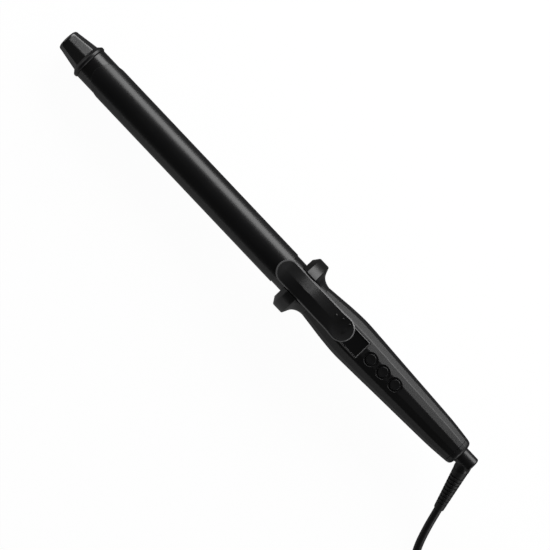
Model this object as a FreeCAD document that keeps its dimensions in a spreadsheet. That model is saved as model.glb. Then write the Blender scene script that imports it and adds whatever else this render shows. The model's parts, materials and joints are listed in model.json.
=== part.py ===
"""Curling iron: 1 inch barrel, sprung clip with a thumb lever, digital handle and swivel cord.

Units are millimetres.  The iron is drawn in its own lying frame: X runs along the barrel towards the cool
tip, x = 0 is the front face of the heat guard, and Z points up through the lever, display and buttons.
Every finished sub-part is then set down on the table by one common placement: the barrel dips until the
tip collar touches the table, and the foot that is cut on the heat guard lies flat on it.
"""
import FreeCAD
import Part
import math
import os

import Sketcher

V = FreeCAD.Vector

DIMENSIONS = {
    # barrel and clip
    "barrel_radius": 12.6, "barrel_wall": 0.9, "barrel_front": 203.0, "barrel_back": -11.9,
    "clip_inner": 12.78, "clip_outer": 13.15, "clip_front": 196.0, "clip_back": 9.2,
    "tongue_back": 3.0, "tongue_half": 7.4,
    # cool tip and its collar
    "collar_radius": 13.5, "collar_face": 11.3, "tip_base": 207.7, "tip_end": 226.5,
    "tip_base_radius": 11.1, "tip_end_radius": 7.85,
    # clip hinge and thumb lever
    "pivot_x": -5.0, "pivot_z": 16.3, "pin_radius": 1.5, "pin_length": 13.4,
    "lever_half": 8.7, "lever_front": 14.07, "pad_radius": 9.15, "pad_x": -46.8, "lever_skin": 1.5,
    # heat guard
    "guard_radius": 22.65, "guard_face": 18.4, "slot_half": 9.3, "slot_floor": 12.0,
    # handle
    "shell_wall": 2.0, "handle_front": -22.2, "handle_back": -161.9,
    # display and buttons
    "window_front": -48.0, "window_back": -67.6, "window_half": 6.0, "bezel_rim": 1.7, "bezel_top": 16.35,
    "button_radius": 3.7, "button_well": 5.4, "button_first": -76.4, "button_pitch": 11.95,
    "button_flange": 4.6, "button_travel": 0.4,
    # circuit board
    "board_top": 5.5, "board_thick": 1.2, "board_half": 8.0, "board_front": -44.0, "board_back": -112.0,
    # swivel and cord
    "swivel_radius": 6.3, "swivel_front": -167.0, "swivel_back": -178.8, "shaft_radius": 3.5,
    "shaft_clearance": 0.06, "relief_root": 5.6, "relief_end": 3.7, "relief_reach": 42.0,
    "boss_reach": 7.8,
    "cord_diameter": 6.0, "coil_radius": 35.6, "coil_width": 31.0, "coil_height": 12.2, "coil_base": 0.9,
    # how it lies on the table
    "rest_dip": 2.1,
}

# Handle outline: station along X, and the distance from the axis to each of the sixteen flats.
HANDLE_STATIONS = [
    (-22.2, 13.1), (-29.7, 13.84), (-43.5, 15.28), (-57.3, 16.04), (-71.0, 15.56),
    (-98.6, 14.32), (-126.1, 13.15), (-146.8, 12.15), (-161.9, 10.75),
]
FACETS = 16
HALF_FACET = 180.0 / FACETS

BUTTONS = ["power_button", "heat_up_button", "heat_down_button"]

# Screw centres: along X under the lever, (x, y) in the handle and on the circuit board.
LEVER_SCREWS = (-16.0, -32.0)
HANDLE_SCREWS = [(-37.0, 8.0), (-37.0, -8.0), (-124.0, 6.3), (-124.0, -6.3)]
BOARD_SCREWS = [(-52.0, 0.0), (-106.0, 0.0)]

# End cap outline: station along X, and the distance from the axis to each of its flats.
CAP_STATIONS = [(-162.05, 10.74), (-164.6, 10.3), (-166.0, 9.5), (-166.7, 8.3)]

# Height of the push switches' plungers above the axis.
SWITCH_TOP = 9.0

# The way the cord leaves the swivel, and its route on the table, chosen by hand.
RELIEF_DIRECTION = V(-0.325, 0.877, -0.354)
LEAD_ROUTE = [(-215.3, 51.8, 7.6), (-221.5, 67.2, 4.4), (-231.6, 82.0, 3.3), (-244.6, 96.0, 3.1),
              (-258.5, 109.2, 3.9)]
TAIL_ROUTE = [(-326.5, 107.4, 9.95), (-336.6, 97.2, 9.4), (-345.1, 84.7, 8.3), (-350.6, 70.0, 7.6),
              (-352.4, 54.8, 7.5)]

doc = FreeCAD.newDocument("curling_iron")
sheet = doc.addObject("Spreadsheet::Sheet", "Dimensions")
parts = []


def fill_sheet():
    """Write the driving dimensions and the handle outline into the spreadsheet."""
    rows = dict(DIMENSIONS)
    for number, (station, flat) in enumerate(HANDLE_STATIONS):
        rows["station_%d" % number] = station
        rows["flat_%d" % number] = flat
    for row, (alias, value) in enumerate(rows.items(), start=1):
        sheet.set("A%d" % row, alias)
        sheet.set("B%d" % row, str(value))
        sheet.setAlias("B%d" % row, alias)
    doc.recompute()


def size(expression):
    """Value of an expression on the sheet's aliases."""
    return float(sheet.evalExpression(named(expression)))


def named(expression):
    """Put the sheet's name before every alias of an expression."""
    text = str(expression)
    words = []
    word = ""
    for letter in text + " ":
        if letter.isalnum() or letter == "_":
            word += letter
            continue
        words.append("Dimensions." + word if word[:1].isalpha() and "_" in word else word)
        words.append(letter)
        word = ""
    return "".join(words).strip()


def bind(item, **sizes):
    """Bind properties of an object to expressions on the sheet."""
    for name, expression in sizes.items():
        item.setExpression(name, named(expression))
    return item


def keep(item, node):
    """Register a finished sub-part under the name of its node."""
    item.Label = node
    parts.append(item)
    return item


# ---------------------------------------------------------------- primitives and booleans

def rod_x(name, radius, start, end, y=0.0, z=0.0):
    """Cylinder along X from one station to another."""
    item = doc.addObject("Part::Cylinder", name)
    bind(item, Radius=radius, Height="(%s) - (%s)" % (end, start))
    item.Placement = FreeCAD.Placement(V(size(start), y, z), FreeCAD.Rotation(V(0, 1, 0), 90))
    return item


def rod_y(name, radius, length, x, z, y=0.0):
    """Cylinder across the iron, centred on a station and height."""
    item = doc.addObject("Part::Cylinder", name)
    bind(item, Radius=radius, Height=length)
    middle = V(x, y - size(length) / 2, z)
    item.Placement = FreeCAD.Placement(middle, FreeCAD.Rotation(V(1, 0, 0), -90))
    return item


def rod_z(name, radius, low, high, x, y=0.0):
    """Upright cylinder between two heights."""
    item = doc.addObject("Part::Cylinder", name)
    bind(item, Radius=radius, Height="(%s) - (%s)" % (high, low))
    item.Placement = FreeCAD.Placement(V(x, y, size(low)), FreeCAD.Rotation())
    return item


def block(name, x, y, z):
    """Box from three pairs of expressions: the low and high end along each axis."""
    item = doc.addObject("Part::Box", name)
    spans = ["(%s) - (%s)" % (high, low) for low, high in (x, y, z)]
    bind(item, Length=spans[0], Width=spans[1], Height=spans[2])
    item.Placement = FreeCAD.Placement(V(size(x[0]), size(y[0]), size(z[0])), FreeCAD.Rotation())
    return item


def cut(name, base, *tools):
    """Base minus one or more tools."""
    item = doc.addObject("Part::Cut", name)
    item.Base = base
    item.Tool = tools[0] if len(tools) == 1 else fuse(name + "_tools", *tools)
    return item


def fuse(name, *pieces):
    """Union of several objects."""
    item = doc.addObject("Part::MultiFuse", name)
    item.Shapes = list(pieces)
    return item


def common(name, first, second):
    """Intersection of two objects."""
    item = doc.addObject("Part::Common", name)
    item.Base = first
    item.Tool = second
    return item


def group(name, pieces):
    """Several separate solids kept together as one sub-part."""
    item = doc.addObject("Part::Compound", name)
    item.Links = list(pieces)
    return item


# ---------------------------------------------------------------- sketch based features

def origin_feature(body, role):
    """One of a body's own origin planes or axes."""
    return [item for item in body.Origin.OriginFeatures if item.Role == role][0]


def outline(body, name, plane, points):
    """Closed sketch of straight sides whose corners are bound to the sheet."""
    sketch = body.newObject("Sketcher::SketchObject", name)
    sketch.AttachmentSupport = [(origin_feature(body, plane), "")]
    sketch.MapMode = "FlatFace"
    corners = [V(size(a), size(b), 0) for a, b in points]
    count = len(corners)
    for number in range(count):
        sketch.addGeometry(Part.LineSegment(corners[number], corners[(number + 1) % count]))
    for number in range(count):
        sketch.addConstraint(Sketcher.Constraint("Coincident", number, 2, (number + 1) % count, 1))
    for number, pair in enumerate(points):
        for kind, text, value in zip(("DistanceX", "DistanceY"), pair, corners[number]):
            index = sketch.addConstraint(Sketcher.Constraint(kind, -1, 1, number, 1, value))
            if not isinstance(text, (int, float)):
                sketch.setExpression("Constraints[%d]" % index, named(text))
    return sketch


def turned(name, points):
    """Body of revolution about the barrel axis; points are (x, radius)."""
    body = doc.addObject("PartDesign::Body", name)
    sketch = outline(body, name + "_profile", "XZ_Plane", points)
    feature = body.newObject("PartDesign::Revolution", name + "_turned")
    feature.Profile = sketch
    feature.ReferenceAxis = (origin_feature(body, "X_Axis"), [""])
    feature.Angle = 360
    return body


def slab(name, points, width):
    """Body padded evenly to both sides of the XZ plane; points are (x, z)."""
    body = doc.addObject("PartDesign::Body", name)
    sketch = outline(body, name + "_side", "XZ_Plane", points)
    feature = body.newObject("PartDesign::Pad", name + "_pad")
    feature.Profile = sketch
    feature.Midplane = True
    bind(feature, Length=width)
    return body


def facet_loft(name, offset, ends=None):
    """Loft of sixteen-sided sections along the handle, moved inwards by an offset."""
    sections = []
    for number, (station, _) in enumerate(HANDLE_STATIONS if ends is None else ends):
        flat = "flat_%d" % number if ends is None else str(ends[number][1])
        ring = doc.addObject("Part::RegularPolygon", "%s_ring_%d" % (name, number))
        ring.Polygon = FACETS
        bind(ring, Circumradius="(%s - (%s)) / cos(%s deg)" % (flat, offset, HALF_FACET))
        turn = FreeCAD.Rotation(V(0, 1, 0), 90) * FreeCAD.Rotation(V(0, 0, 1), HALF_FACET)
        ring.Placement = FreeCAD.Placement(V(station, 0, 0), turn)
        sections.append(ring)
    item = doc.addObject("Part::Loft", name)
    item.Sections = sections
    item.Solid = True
    item.Ruled = ends is not None
    return item


def flat_at(station):
    """Height of the handle's top flat at a station, between the listed sections."""
    for (x1, f1), (x2, f2) in zip(HANDLE_STATIONS, HANDLE_STATIONS[1:]):
        if x2 <= station <= x1:
            return f1 + (f2 - f1) * (station - x1) / (x2 - x1)
    raise ValueError("station %s is off the handle" % station)


def soften(name, base, radius, chosen):
    """Fillet the edges of a recomputed object that a test picks."""
    doc.recompute()
    edges = [number for number, edge in enumerate(base.Shape.Edges, start=1) if chosen(edge)]
    item = doc.addObject("Part::Fillet", name)
    item.Base = base
    item.Edges = [(number, radius, radius) for number in edges]
    return item


# ---------------------------------------------------------------- barrel end

def build_tip():
    """Eight-sided cool tip on a flared collar that plugs the barrel."""
    collar = turned("collar", [
        ("barrel_front - 12", 9.5), ("barrel_front - 12", "barrel_radius - barrel_wall - 0.05"),
        ("barrel_front + 0.1", "barrel_radius - barrel_wall - 0.05"), ("barrel_front + 0.1", "barrel_radius"),
        ("barrel_front + 0.8", "collar_radius"), ("barrel_front + 2.6", "collar_radius"),
        ("tip_base", "collar_face"), ("tip_base", 6.05), ("barrel_front", 6.05), ("barrel_front", 9.5)])
    keep(collar, "tip_collar")
    sections = []
    corners = [("tip_base + 0.05", "tip_base_radius"), ("tip_end - 1", "tip_end_radius + 0.2"),
               ("tip_end", "tip_end_radius - 0.8")]
    for number, (station, radius) in enumerate(corners):
        ring = doc.addObject("Part::RegularPolygon", "tip_ring_%d" % number)
        ring.Polygon = 8
        bind(ring, Circumradius=radius)
        ring.Placement = FreeCAD.Placement(V(size(station), 0, 0), FreeCAD.Rotation(V(0, 1, 0), 90))
        sections.append(ring)
    cap = doc.addObject("Part::Loft", "tip_loft")
    cap.Sections = sections
    cap.Solid = True
    cap.Ruled = True
    stub = rod_x("tip_stub", 6.0, "barrel_front - 4", "tip_base + 1")
    keep(fuse("tip_body", cap, stub), "cool_tip")


def build_barrel():
    """Barrel tube, the insulator that holds its root, and the two screws behind it."""
    outside = rod_x("barrel_outside", "barrel_radius", "barrel_back", "barrel_front")
    inside = rod_x("barrel_inside", "barrel_radius - barrel_wall", "barrel_back - 1", "barrel_front + 1")
    keep(cut("barrel", outside, inside), "barrel_tube")
    screw_y = 8.2
    plug = rod_x("insulator_plug", "barrel_radius - barrel_wall - 0.05", "barrel_back", "barrel_back + 9")
    core = rod_x("insulator_core", 5.0, "barrel_back - 1", "barrel_back + 10")
    holes = [rod_x("insulator_hole_%d" % side, 1.0, "barrel_back - 1", "barrel_back + 7.1", screw_y * side)
             for side in (-1, 1)]
    keep(cut("insulator", plug, core, *holes), "barrel_insulator")
    screws = []
    for side in (-1, 1):
        shank = rod_x("root_shank_%d" % side, 0.95, "barrel_back - 4.6", "barrel_back + 7", screw_y * side)
        head = rod_x("root_head_%d" % side, 1.3, "barrel_back - 6", "barrel_back - 4.4", screw_y * side)
        screws.append(fuse("root_screw_%d" % side, shank, head))
    keep(group("root_screws", screws), "barrel_screws")


def build_heater():
    """Ceramic heater plate clamped between two half-round spreaders, with its sensor, fuse and leads."""
    keep(block("heater", (30, 170), (-7, 7), (-1, 1)), "heater_plate")
    outer_radius = "barrel_radius - barrel_wall - 0.2"
    inner_radius = "barrel_radius - barrel_wall - 1.1"
    for side, node in ((1, "upper_heat_spreader"), (-1, "lower_heat_spreader")):
        outside = rod_x(node + "_outside", outer_radius, 25, 175)
        low, high = (1.05, 14) if side > 0 else (-14, -1.05)
        half = common(node + "_half", outside, block(node + "_side", (24, 176), (-14, 14), (low, high)))
        hollow = rod_x(node + "_hollow", inner_radius, 24, 176)
        low, high = (2.0, 13) if side > 0 else (-13, -2.0)
        room = common(node + "_room", hollow, block(node + "_keep", (24, 176), (-13, 13), (low, high)))
        keep(cut(node + "_shell", half, room), node)
    keep(rod_x("sensor", 1.3, 60, 66, 0, 3.5), "thermistor")
    keep(rod_x("fuse_body", 2.0, 15, 23, 0, 4.5), "thermal_fuse")
    leads = [rod_x("heater_lead_%d" % side, 0.9, -46, 29.9, 2.2 * side, 0.0) for side in (-1, 1)]
    keep(group("heater_lead_pair", leads), "heater_leads")
    wires = [rod_x("sensor_lead_%d" % side, 0.4, -46, 59.9, 0.6 * side, 3.3) for side in (-1, 1)]
    fuse_gap = block("fuse_gap", (14.8, 23.2), (-3, 3), (2, 7))
    keep(cut("sensor_lead_pair", group("sensor_wires", wires), fuse_gap), "sensor_leads")


# ---------------------------------------------------------------- clip and lever

def build_clip():
    """Curved clip plate with its arched front and the tongue that the arm is welded to."""
    outside = rod_x("clip_outside", "clip_outer", "tongue_back", "clip_front")
    inside = rod_x("clip_inside", "clip_inner", "tongue_back - 1", "clip_front + 1")
    sheet_metal = cut("clip_sheet", outside, inside)
    arch = rod_z("clip_arch", "clip_outer", 0.5, 20, size("clip_front - clip_outer"))
    run = block("clip_run", ("clip_back", "clip_front - clip_outer"), (-14, 14), (0.5, 20))
    tongue = block("clip_tongue", ("tongue_back", "clip_back + 1"), ("-tongue_half", "tongue_half"), (0.5, 20))
    keep(common("clip", sheet_metal, fuse("clip_plan", arch, run, tongue)), "clip_plate")


def build_hinge():
    """Bracket on the barrel, hinge pin, and the steel arm that swings on it."""
    pivot = V(size("pivot_x"), 0, size("pivot_z"))
    saddle = cut("saddle", rod_x("saddle_outside", 13.4, "pivot_x - 5", "pivot_x + 4.4"),
                 rod_x("saddle_inside", "barrel_radius + 0.02", "pivot_x - 6", "pivot_x + 6"))
    seat = common("bracket_seat", saddle, block("seat_room", (-12, 2), (-4.9, 4.9), (12.05, 20)))
    ears = [block("bracket_ear_%d" % side, ("pivot_x - 2.8", "pivot_x + 2.8"),
                  (min(4 * side, 5 * side), max(4 * side, 5 * side)), (12.2, "pivot_z + 2.4"))
            for side in (-1, 1)]
    pin_hole = rod_y("bracket_hole", "pin_radius", 14, pivot.x, pivot.z)
    keep(cut("bracket", fuse("bracket_blank", seat, *ears), pin_hole), "hinge_bracket")
    keep(rod_y("pin", "pin_radius", "pin_length", pivot.x, pivot.z), "hinge_pin")

    strip = slab("arm_strip", [
        (10.8, 13.2), (4.6, 13.2), (-0.4, 19.5), (-10, 19.7), (-20, 20.1), (-37, 20.7), (-37, 21.6),
        (-20, 21.0), (-10, 20.7), (0.1, 20.5), (5.1, 14.3), (10.8, 14.3)], 9.0)
    top = block("arm_web", ("pivot_x - 3.4", "pivot_x + 3.4"), (-6.2, 6.2), (19.7, 20.6))
    flanges = [block("arm_ear_%d" % side, ("pivot_x - 3.4", "pivot_x + 3.4"),
                     (min(5.2 * side, 6.2 * side), max(5.2 * side, 6.2 * side)), ("pivot_z - 2.4", 20.2))
               for side in (-1, 1)]
    bore = rod_y("arm_bore", "pin_radius + 0.05", 14, pivot.x, pivot.z)
    seat_cut = rod_x("arm_seat", "clip_outer + 0.02", 0, 20)
    screw_holes = [rod_z("arm_hole_%d" % number, 1.15, 18, 24, x) for number, x in enumerate(LEVER_SCREWS)]
    blank = fuse("arm_blank", strip, top, *flanges)
    keep(cut("arm", blank, bore, seat_cut, *screw_holes), "clip_arm")


def build_spring():
    """Torsion spring round the hinge pin, with both legs running back under the lever."""
    wire, coil, turns, pitch = 0.45, 2.2, 5, 1.3
    half = turns * pitch / 2
    centre = V(size("pivot_x"), 0, size("pivot_z"))
    helix = Part.makeHelix(pitch, turns * pitch, coil)
    start = helix.Edges[0].valueAt(helix.Edges[0].FirstParameter)
    section = Part.Wire(Part.makeCircle(wire, start, V(0, 1, 0)))
    body = Part.Wire(helix.Edges).makePipeShell([section], True, True)
    body.translate(V(0, 0, -half))
    body.rotate(V(0, 0, 0), V(0, 0, 1), 90)
    body.rotate(V(0, 0, 0), V(1, 0, 0), 90)
    legs = [Part.makeCylinder(wire, 7, V(0.2, -half, coil), V(-1, 0, 0.12)),
            Part.makeCylinder(wire, 7, V(0.2, half, coil), V(-1, 0, -0.42))]
    solid = body.fuse(legs)
    solid.translate(centre)
    item = doc.addObject("Part::Feature", "torsion_spring")
    item.Shape = solid
    keep(item, "clip_spring")


def lever_plan(name, inset, low, high):
    """Upright stadium-shaped solid: round front, straight sides, rounder thumb pad at the back."""
    front_x = size("lever_front - lever_half")
    front = rod_z(name + "_front", "lever_half - %s" % inset, low, high, front_x)
    pad = rod_z(name + "_pad", "pad_radius - %s" % inset, low, high, size("pad_x"))
    run = block(name + "_run", ("pad_x", "lever_front - lever_half"),
                ("-lever_half + %s" % inset, "lever_half - %s" % inset), (low, high))
    return fuse(name + "_plan", front, run, pad)


def build_lever():
    """Moulded thumb lever over the arm: hollow underneath, with two screw bosses."""
    skin = slab("lever_skin_side", [
        ("lever_front + 1", 9.6), (1.2, 9.6), (1.2, 13.4), (-12, 14.4), (-22, 20.2), (-40, 22.4),
        (-57, 25.1), (-57, 27.3), (-54, 26.6), (-49, 25.2), (-43, 24.6), (-36, 24.9), (-18, 24.2), (-6, 23.1), (0, 21.8),
        (6, 19.4), (11, 16.8), ("lever_front + 1", 14.6)], 20)
    outside = common("lever_outside", skin, lever_plan("lever_outer", 0, 9.6, 30))
    hollow_side = slab("lever_hollow_side", [
        ("lever_front - 2", 13), (-37.6, 13), (-37.6, 22.3), (-18, 22.0), (-6, 21.1), (0, 20.9),
        (5.6, 18.2), (10, 15.4), ("lever_front - 2", 14.4)], 20)
    hollow = common("lever_hollow", hollow_side, lever_plan("lever_inner", "lever_skin", 12, 30))
    bosses = [rod_z("lever_boss_%d" % number, 2.6, 21.6, 23.0, x) for number, x in enumerate(LEVER_SCREWS)]
    shell = cut("lever_shell", outside, hollow)
    seat = rod_x("lever_seat", "clip_outer + 0.02", 0, 20)
    drilled = [rod_z("lever_hole_%d" % number, 0.9, 18, 23.2, x) for number, x in enumerate(LEVER_SCREWS)]
    arm_room = block("lever_arm_room", (-38, -37), (-5, 5), (20, 22.3))
    solid = cut("lever_body", fuse("lever_blank", shell, *bosses), seat, arm_room, *drilled)
    keep(solid, "thumb_lever")
    screws = []
    for number, (x, underside) in enumerate(zip(LEVER_SCREWS, (19.85, 20.4))):
        shank = rod_z("lever_shank_%d" % number, 0.85, underside - 0.1, 23.1, x)
        head = rod_z("lever_head_%d" % number, 2.0, underside - 1.1, underside, x)
        screws.append(fuse("lever_screw_%d" % number, shank, head))
    keep(group("lever_screw_pair", screws), "lever_screws")


# ---------------------------------------------------------------- guard and handle

def build_guard():
    """Round heat guard with a slot for the lever, a spigot for the handle and a flat foot."""
    body = turned("guard_blank", [
        (0, "barrel_radius + 0.03"), (0, "guard_face"), (-3.17, "guard_radius"), (-11.36, "guard_radius"),
        (-14.6, 16.2), (-16.2, 14.8), (-18.2, 13.8), (-20.2, 13.28), ("handle_front", 13.05),
        ("handle_front", 11.0), (-30, 11.0), (-30, 9.7), ("barrel_back - 4.4", 9.7),
        ("barrel_back - 4.4", 5.5), ("barrel_back - 0.05", 5.5), ("barrel_back - 0.05", "barrel_radius + 0.03")])
    slot = block("guard_slot", (-18, 1), ("-slot_half", "slot_half"), ("slot_floor", 30))
    holes = [rod_x("guard_hole_%d" % side, 1.0, "barrel_back - 5", "barrel_back + 1", 8.2 * side)
             for side in (-1, 1)]
    below = doc.addObject("Part::Box", "table_room")
    below.Length, below.Width, below.Height = 60, 60, 20
    below.Placement = rest_placement().inverse().multiply(
        FreeCAD.Placement(V(-60 + rest_shift(), -30, -20), FreeCAD.Rotation()))
    keep(cut("guard", body, slot, below, *holes), "heat_guard")


def build_handle():
    """Sixteen-sided handle in two shells with screw posts, and the end cap."""
    outer = facet_loft("handle_outer", 0)
    inner = facet_loft("handle_inner", "shell_wall")
    spigot_room = rod_x("spigot_room", 11.05, -30.1, "handle_front + 1")
    tube = cut("handle_tube", outer, inner, spigot_room)
    posts = {1: [], -1: []}
    holes = {1: [], -1: []}
    screws = []
    for number, (x, y) in enumerate(HANDLE_SCREWS):
        reach = flat_at(x) - size("shell_wall") - 0.6 - 0.42 * max(0.0, abs(y) - 2.5)
        posts[1].append(rod_z("upper_post_%d" % number, 2.6, 0.05, reach + 0.6, x, y))
        posts[-1].append(rod_z("lower_post_%d" % number, 2.6, -reach - 0.6, -0.05, x, y))
        holes[1].append(rod_z("upper_bore_%d" % number, 1.0, -1, 6.2, x, y))
        holes[-1].append(rod_z("lower_bore_%d" % number, 1.15, -20, 1, x, y))
        holes[-1].append(rod_z("lower_well_%d" % number, 2.0, -20, -6.0, x, y))
        shank = rod_z("case_shank_%d" % number, 0.95, -6.1, 6.1, x, y)
        head = rod_z("case_head_%d" % number, 1.9, -7.4, -6.0, x, y)
        screws.append(fuse("case_screw_%d" % number, shank, head))
    keep(group("case_screws", screws), "handle_screws")

    bezel_room = block("bezel_room", ("window_back - 1.1", "window_front + 1.1"),
                       ("-window_half - bezel_rim - 0.05", "window_half + bezel_rim + 0.05"), (12, 20))
    for number, x in enumerate(button_stations()):
        holes[1].append(rod_z("button_bore_%d" % number, "button_radius + 0.15", 8, 20, x))
        holes[1].append(rod_z("button_well_%d" % number, "button_well", flat_at(x) - 1.1, 20, x))
    holes[1].append(bezel_room)
    board_posts = [rod_z("board_post_%d" % number, 2.2, 1 - flat_at(x), "board_top - board_thick - 0.02", x, y)
                   for number, (x, y) in enumerate(BOARD_SCREWS)]
    board_bores = [rod_z("board_bore_%d" % number, 0.8, -2.2, 6, x, y)
                   for number, (x, y) in enumerate(BOARD_SCREWS)]
    posts[-1] += board_posts
    holes[-1] += board_bores
    for side, node in ((1, "handle_upper"), (-1, "handle_lower")):
        low, high = (0.02, 30) if side > 0 else (-30, -0.02)
        half = block(node + "_side", (-170, -20), (-30, 30), (low, high))
        shell = common(node + "_shell", tube, half)
        keep(cut(node + "_body", fuse(node + "_blank", shell, *posts[side]), *holes[side]), node)

    cap = facet_loft("cap_loft", 0, CAP_STATIONS)
    spigot = rod_x("cap_spigot", 8.0, "handle_back - 1", "handle_back + 6")
    bore = rod_x("cap_bore", "shaft_radius + shaft_clearance", "swivel_front - 1", "handle_back + 8")
    keep(cut("cap", fuse("cap_blank", cap, spigot), bore), "end_cap")


def button_stations():
    """Stations of the three buttons, from the display backwards."""
    return [size("button_first - %d * button_pitch" % number) for number in range(len(BUTTONS))]


# ---------------------------------------------------------------- display, buttons, electronics

def build_display():
    """Raised bezel, window, display module and its holder."""
    margin = "window_half + bezel_rim"
    outside = block("bezel_outside", ("window_back - 1.05", "window_front + 1.05"),
                    ("-window_half - bezel_rim", margin), (13.2, "bezel_top"))
    doc.recompute()
    chamfer = doc.addObject("Part::Chamfer", "bezel_edges")
    chamfer.Base = outside
    top = size("bezel_top")
    chamfer.Edges = [(number, 0.9, 0.9) for number, edge in enumerate(outside.Shape.Edges, start=1)
                     if all(abs(vertex.Z - top) < 1e-6 for vertex in edge.Vertexes)]
    opening = block("bezel_opening", ("window_back", "window_front"), ("-window_half", "window_half"), (13, 17))
    keep(cut("bezel", chamfer, opening), "display_bezel")
    pane = block("pane", ("window_back + 0.03", "window_front - 0.03"),
                 ("-window_half + 0.03", "window_half - 0.03"), (14.2, 15.4))
    keep(pane, "display_window")
    keep(block("module", (-69.5, -46.5), (-6.2, 6.2), (9.9, 12.0)), "display_module")
    frame = block("holder_outside", (-69.0, -47.0), (-6.2, 6.2), ("board_top + 0.02", 9.88))
    room = block("holder_room", (-67.4, -48.6), (-4.8, 4.8), (5, 11))
    keep(cut("holder", frame, room), "display_holder")


def build_buttons():
    """Push buttons: a round cap, a flange that holds it in the shell, and a stem above its switch."""
    for node, x in zip(BUTTONS, button_stations()):
        flat = flat_at(x)
        cap = rod_z(node + "_cap", "button_radius", flat - 3.3, flat - 0.1, x)
        flange = rod_z(node + "_flange", "button_flange", flat - 4.0, flat - 3.25, x)
        stem = rod_z(node + "_stem", 1.2, SWITCH_TOP + size("button_travel") + 0.05, flat - 3.9, x)
        keep(fuse(node + "_body", cap, flange, stem), node)


def build_electronics():
    """Circuit board with its switches, power parts and screws."""
    board = block("board_blank", ("board_back", "board_front"), ("-board_half", "board_half"),
                  ("board_top - board_thick", "board_top"))
    bores = [rod_z("board_hole_%d" % number, 1.1, 0, 8, x, y) for number, (x, y) in enumerate(BOARD_SCREWS)]
    keep(cut("board", board, *bores), "circuit_board")
    screws = []
    for number, (x, y) in enumerate(BOARD_SCREWS):
        shank = rod_z("board_shank_%d" % number, 0.75, -2.0, "board_top + 0.1", x, y)
        head = rod_z("board_head_%d" % number, 1.8, "board_top + 0.02", "board_top + 1.1", x, y)
        screws.append(fuse("board_screw_%d" % number, shank, head))
    keep(group("board_screw_pair", screws), "board_screws")
    switches = []
    for number, x in enumerate(button_stations()):
        case = block("switch_case_%d" % number, (x - 3, x + 3), (-3, 3), ("board_top + 0.02", SWITCH_TOP - 0.8))
        plunger = rod_z("switch_plunger_%d" % number, 1.6, SWITCH_TOP - 0.9, SWITCH_TOP, x)
        switches.append(fuse("switch_%d" % number, case, plunger))
    keep(group("switch_row", switches), "tact_switches")
    underside = "board_top - board_thick - 0.02"
    keep(block("triac_case", (-72, -62), (-7.5, -3), (-8, underside)), "triac")
    keep(block("capacitor_case", (-96, -82), (-4, 4), (-5, underside)), "filter_capacitor")
    keep(rod_x("buzzer_case", 2.4, -76, -60, 5.0, 1.8), "glass_fuse")
    leads = [rod_x("mains_lead_%d" % side, 0.9, -143.9, "board_back + 1", 2.4 * side, 3.3) for side in (-1, 1)]
    keep(group("mains_lead_pair", leads), "mains_leads")


# ---------------------------------------------------------------- swivel and cord

def build_swivel():
    """Swivel block with its shaft and contacts, and the brush strips that touch them."""
    block_body = rod_x("swivel_body", "swivel_radius", "swivel_back", "swivel_front")
    back = size("swivel_back")
    rounded = soften("swivel_round", block_body, 1.4,
                     lambda edge: all(abs(vertex.X - back) < 0.01 for vertex in edge.Vertexes))
    shaft = rod_x("swivel_shaft", "shaft_radius", "swivel_front - 1", -151.0)
    flange = rod_x("swivel_flange", 5.2, -155.6, -154.0)
    boss = doc.addObject("Part::Cylinder", "swivel_boss")
    bind(boss, Radius="relief_root + 0.2", Height="boss_reach")
    heading = rest_placement().Rotation.inverted().multVec(RELIEF_DIRECTION)
    middle = V(size("(swivel_front + swivel_back) / 2"), 0, 0)
    boss.Placement = FreeCAD.Placement(middle, FreeCAD.Rotation(V(0, 0, 1), heading))
    keep(fuse("swivel", rounded, boss, shaft, flange), "swivel_block")
    ring_outside = rod_x("ring_outside", 4.6, -153.9, -152.0)
    ring_inside = rod_x("ring_inside", "shaft_radius", -155, -151)
    keep(cut("ring_tube", ring_outside, ring_inside), "ring_contact")
    keep(rod_x("centre_stud", 1.6, -150.95, -147.5), "centre_contact")
    ring_strip = block("ring_strip", (-153.5, -144), (2.0, 4.4), (4.9, 5.3))
    centre_strip = block("centre_strip", (-147.2, -146.8), (-2.2, 2.2), (-2.2, 4.2))
    strip_tail = block("strip_tail", (-147.2, -144), (-4.2, -1.6), (2.9, 3.7))
    keep(group("brushes", [ring_strip, fuse("centre_brush", centre_strip, strip_tail)]), "brush_strips")


def swivel_exit():
    """Point on the swivel block's axis, on the table's frame, where the relief's axis starts."""
    return rest_placement().multVec(V(size("(swivel_front + swivel_back) / 2"), 0, 0))


def along_relief(reach):
    """Point on the strain relief's axis, that far out from the swivel block's axis."""
    return swivel_exit() + RELIEF_DIRECTION * (size(reach) / RELIEF_DIRECTION.Length)


def build_relief():
    """Tapered strain relief on the side boss of the swivel block."""
    cone = doc.addObject("Part::Cone", "relief_cone")
    bind(cone, Radius1="relief_root", Radius2="relief_end", Height="relief_reach - boss_reach")
    cone.Placement = FreeCAD.Placement(along_relief("boss_reach"), FreeCAD.Rotation(V(0, 0, 1), RELIEF_DIRECTION))
    keep(cone, "strain_relief")


def coil_centre():
    """Centre of the put-away coil on the table."""
    return V(-291.6, 74.3, 0)


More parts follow.
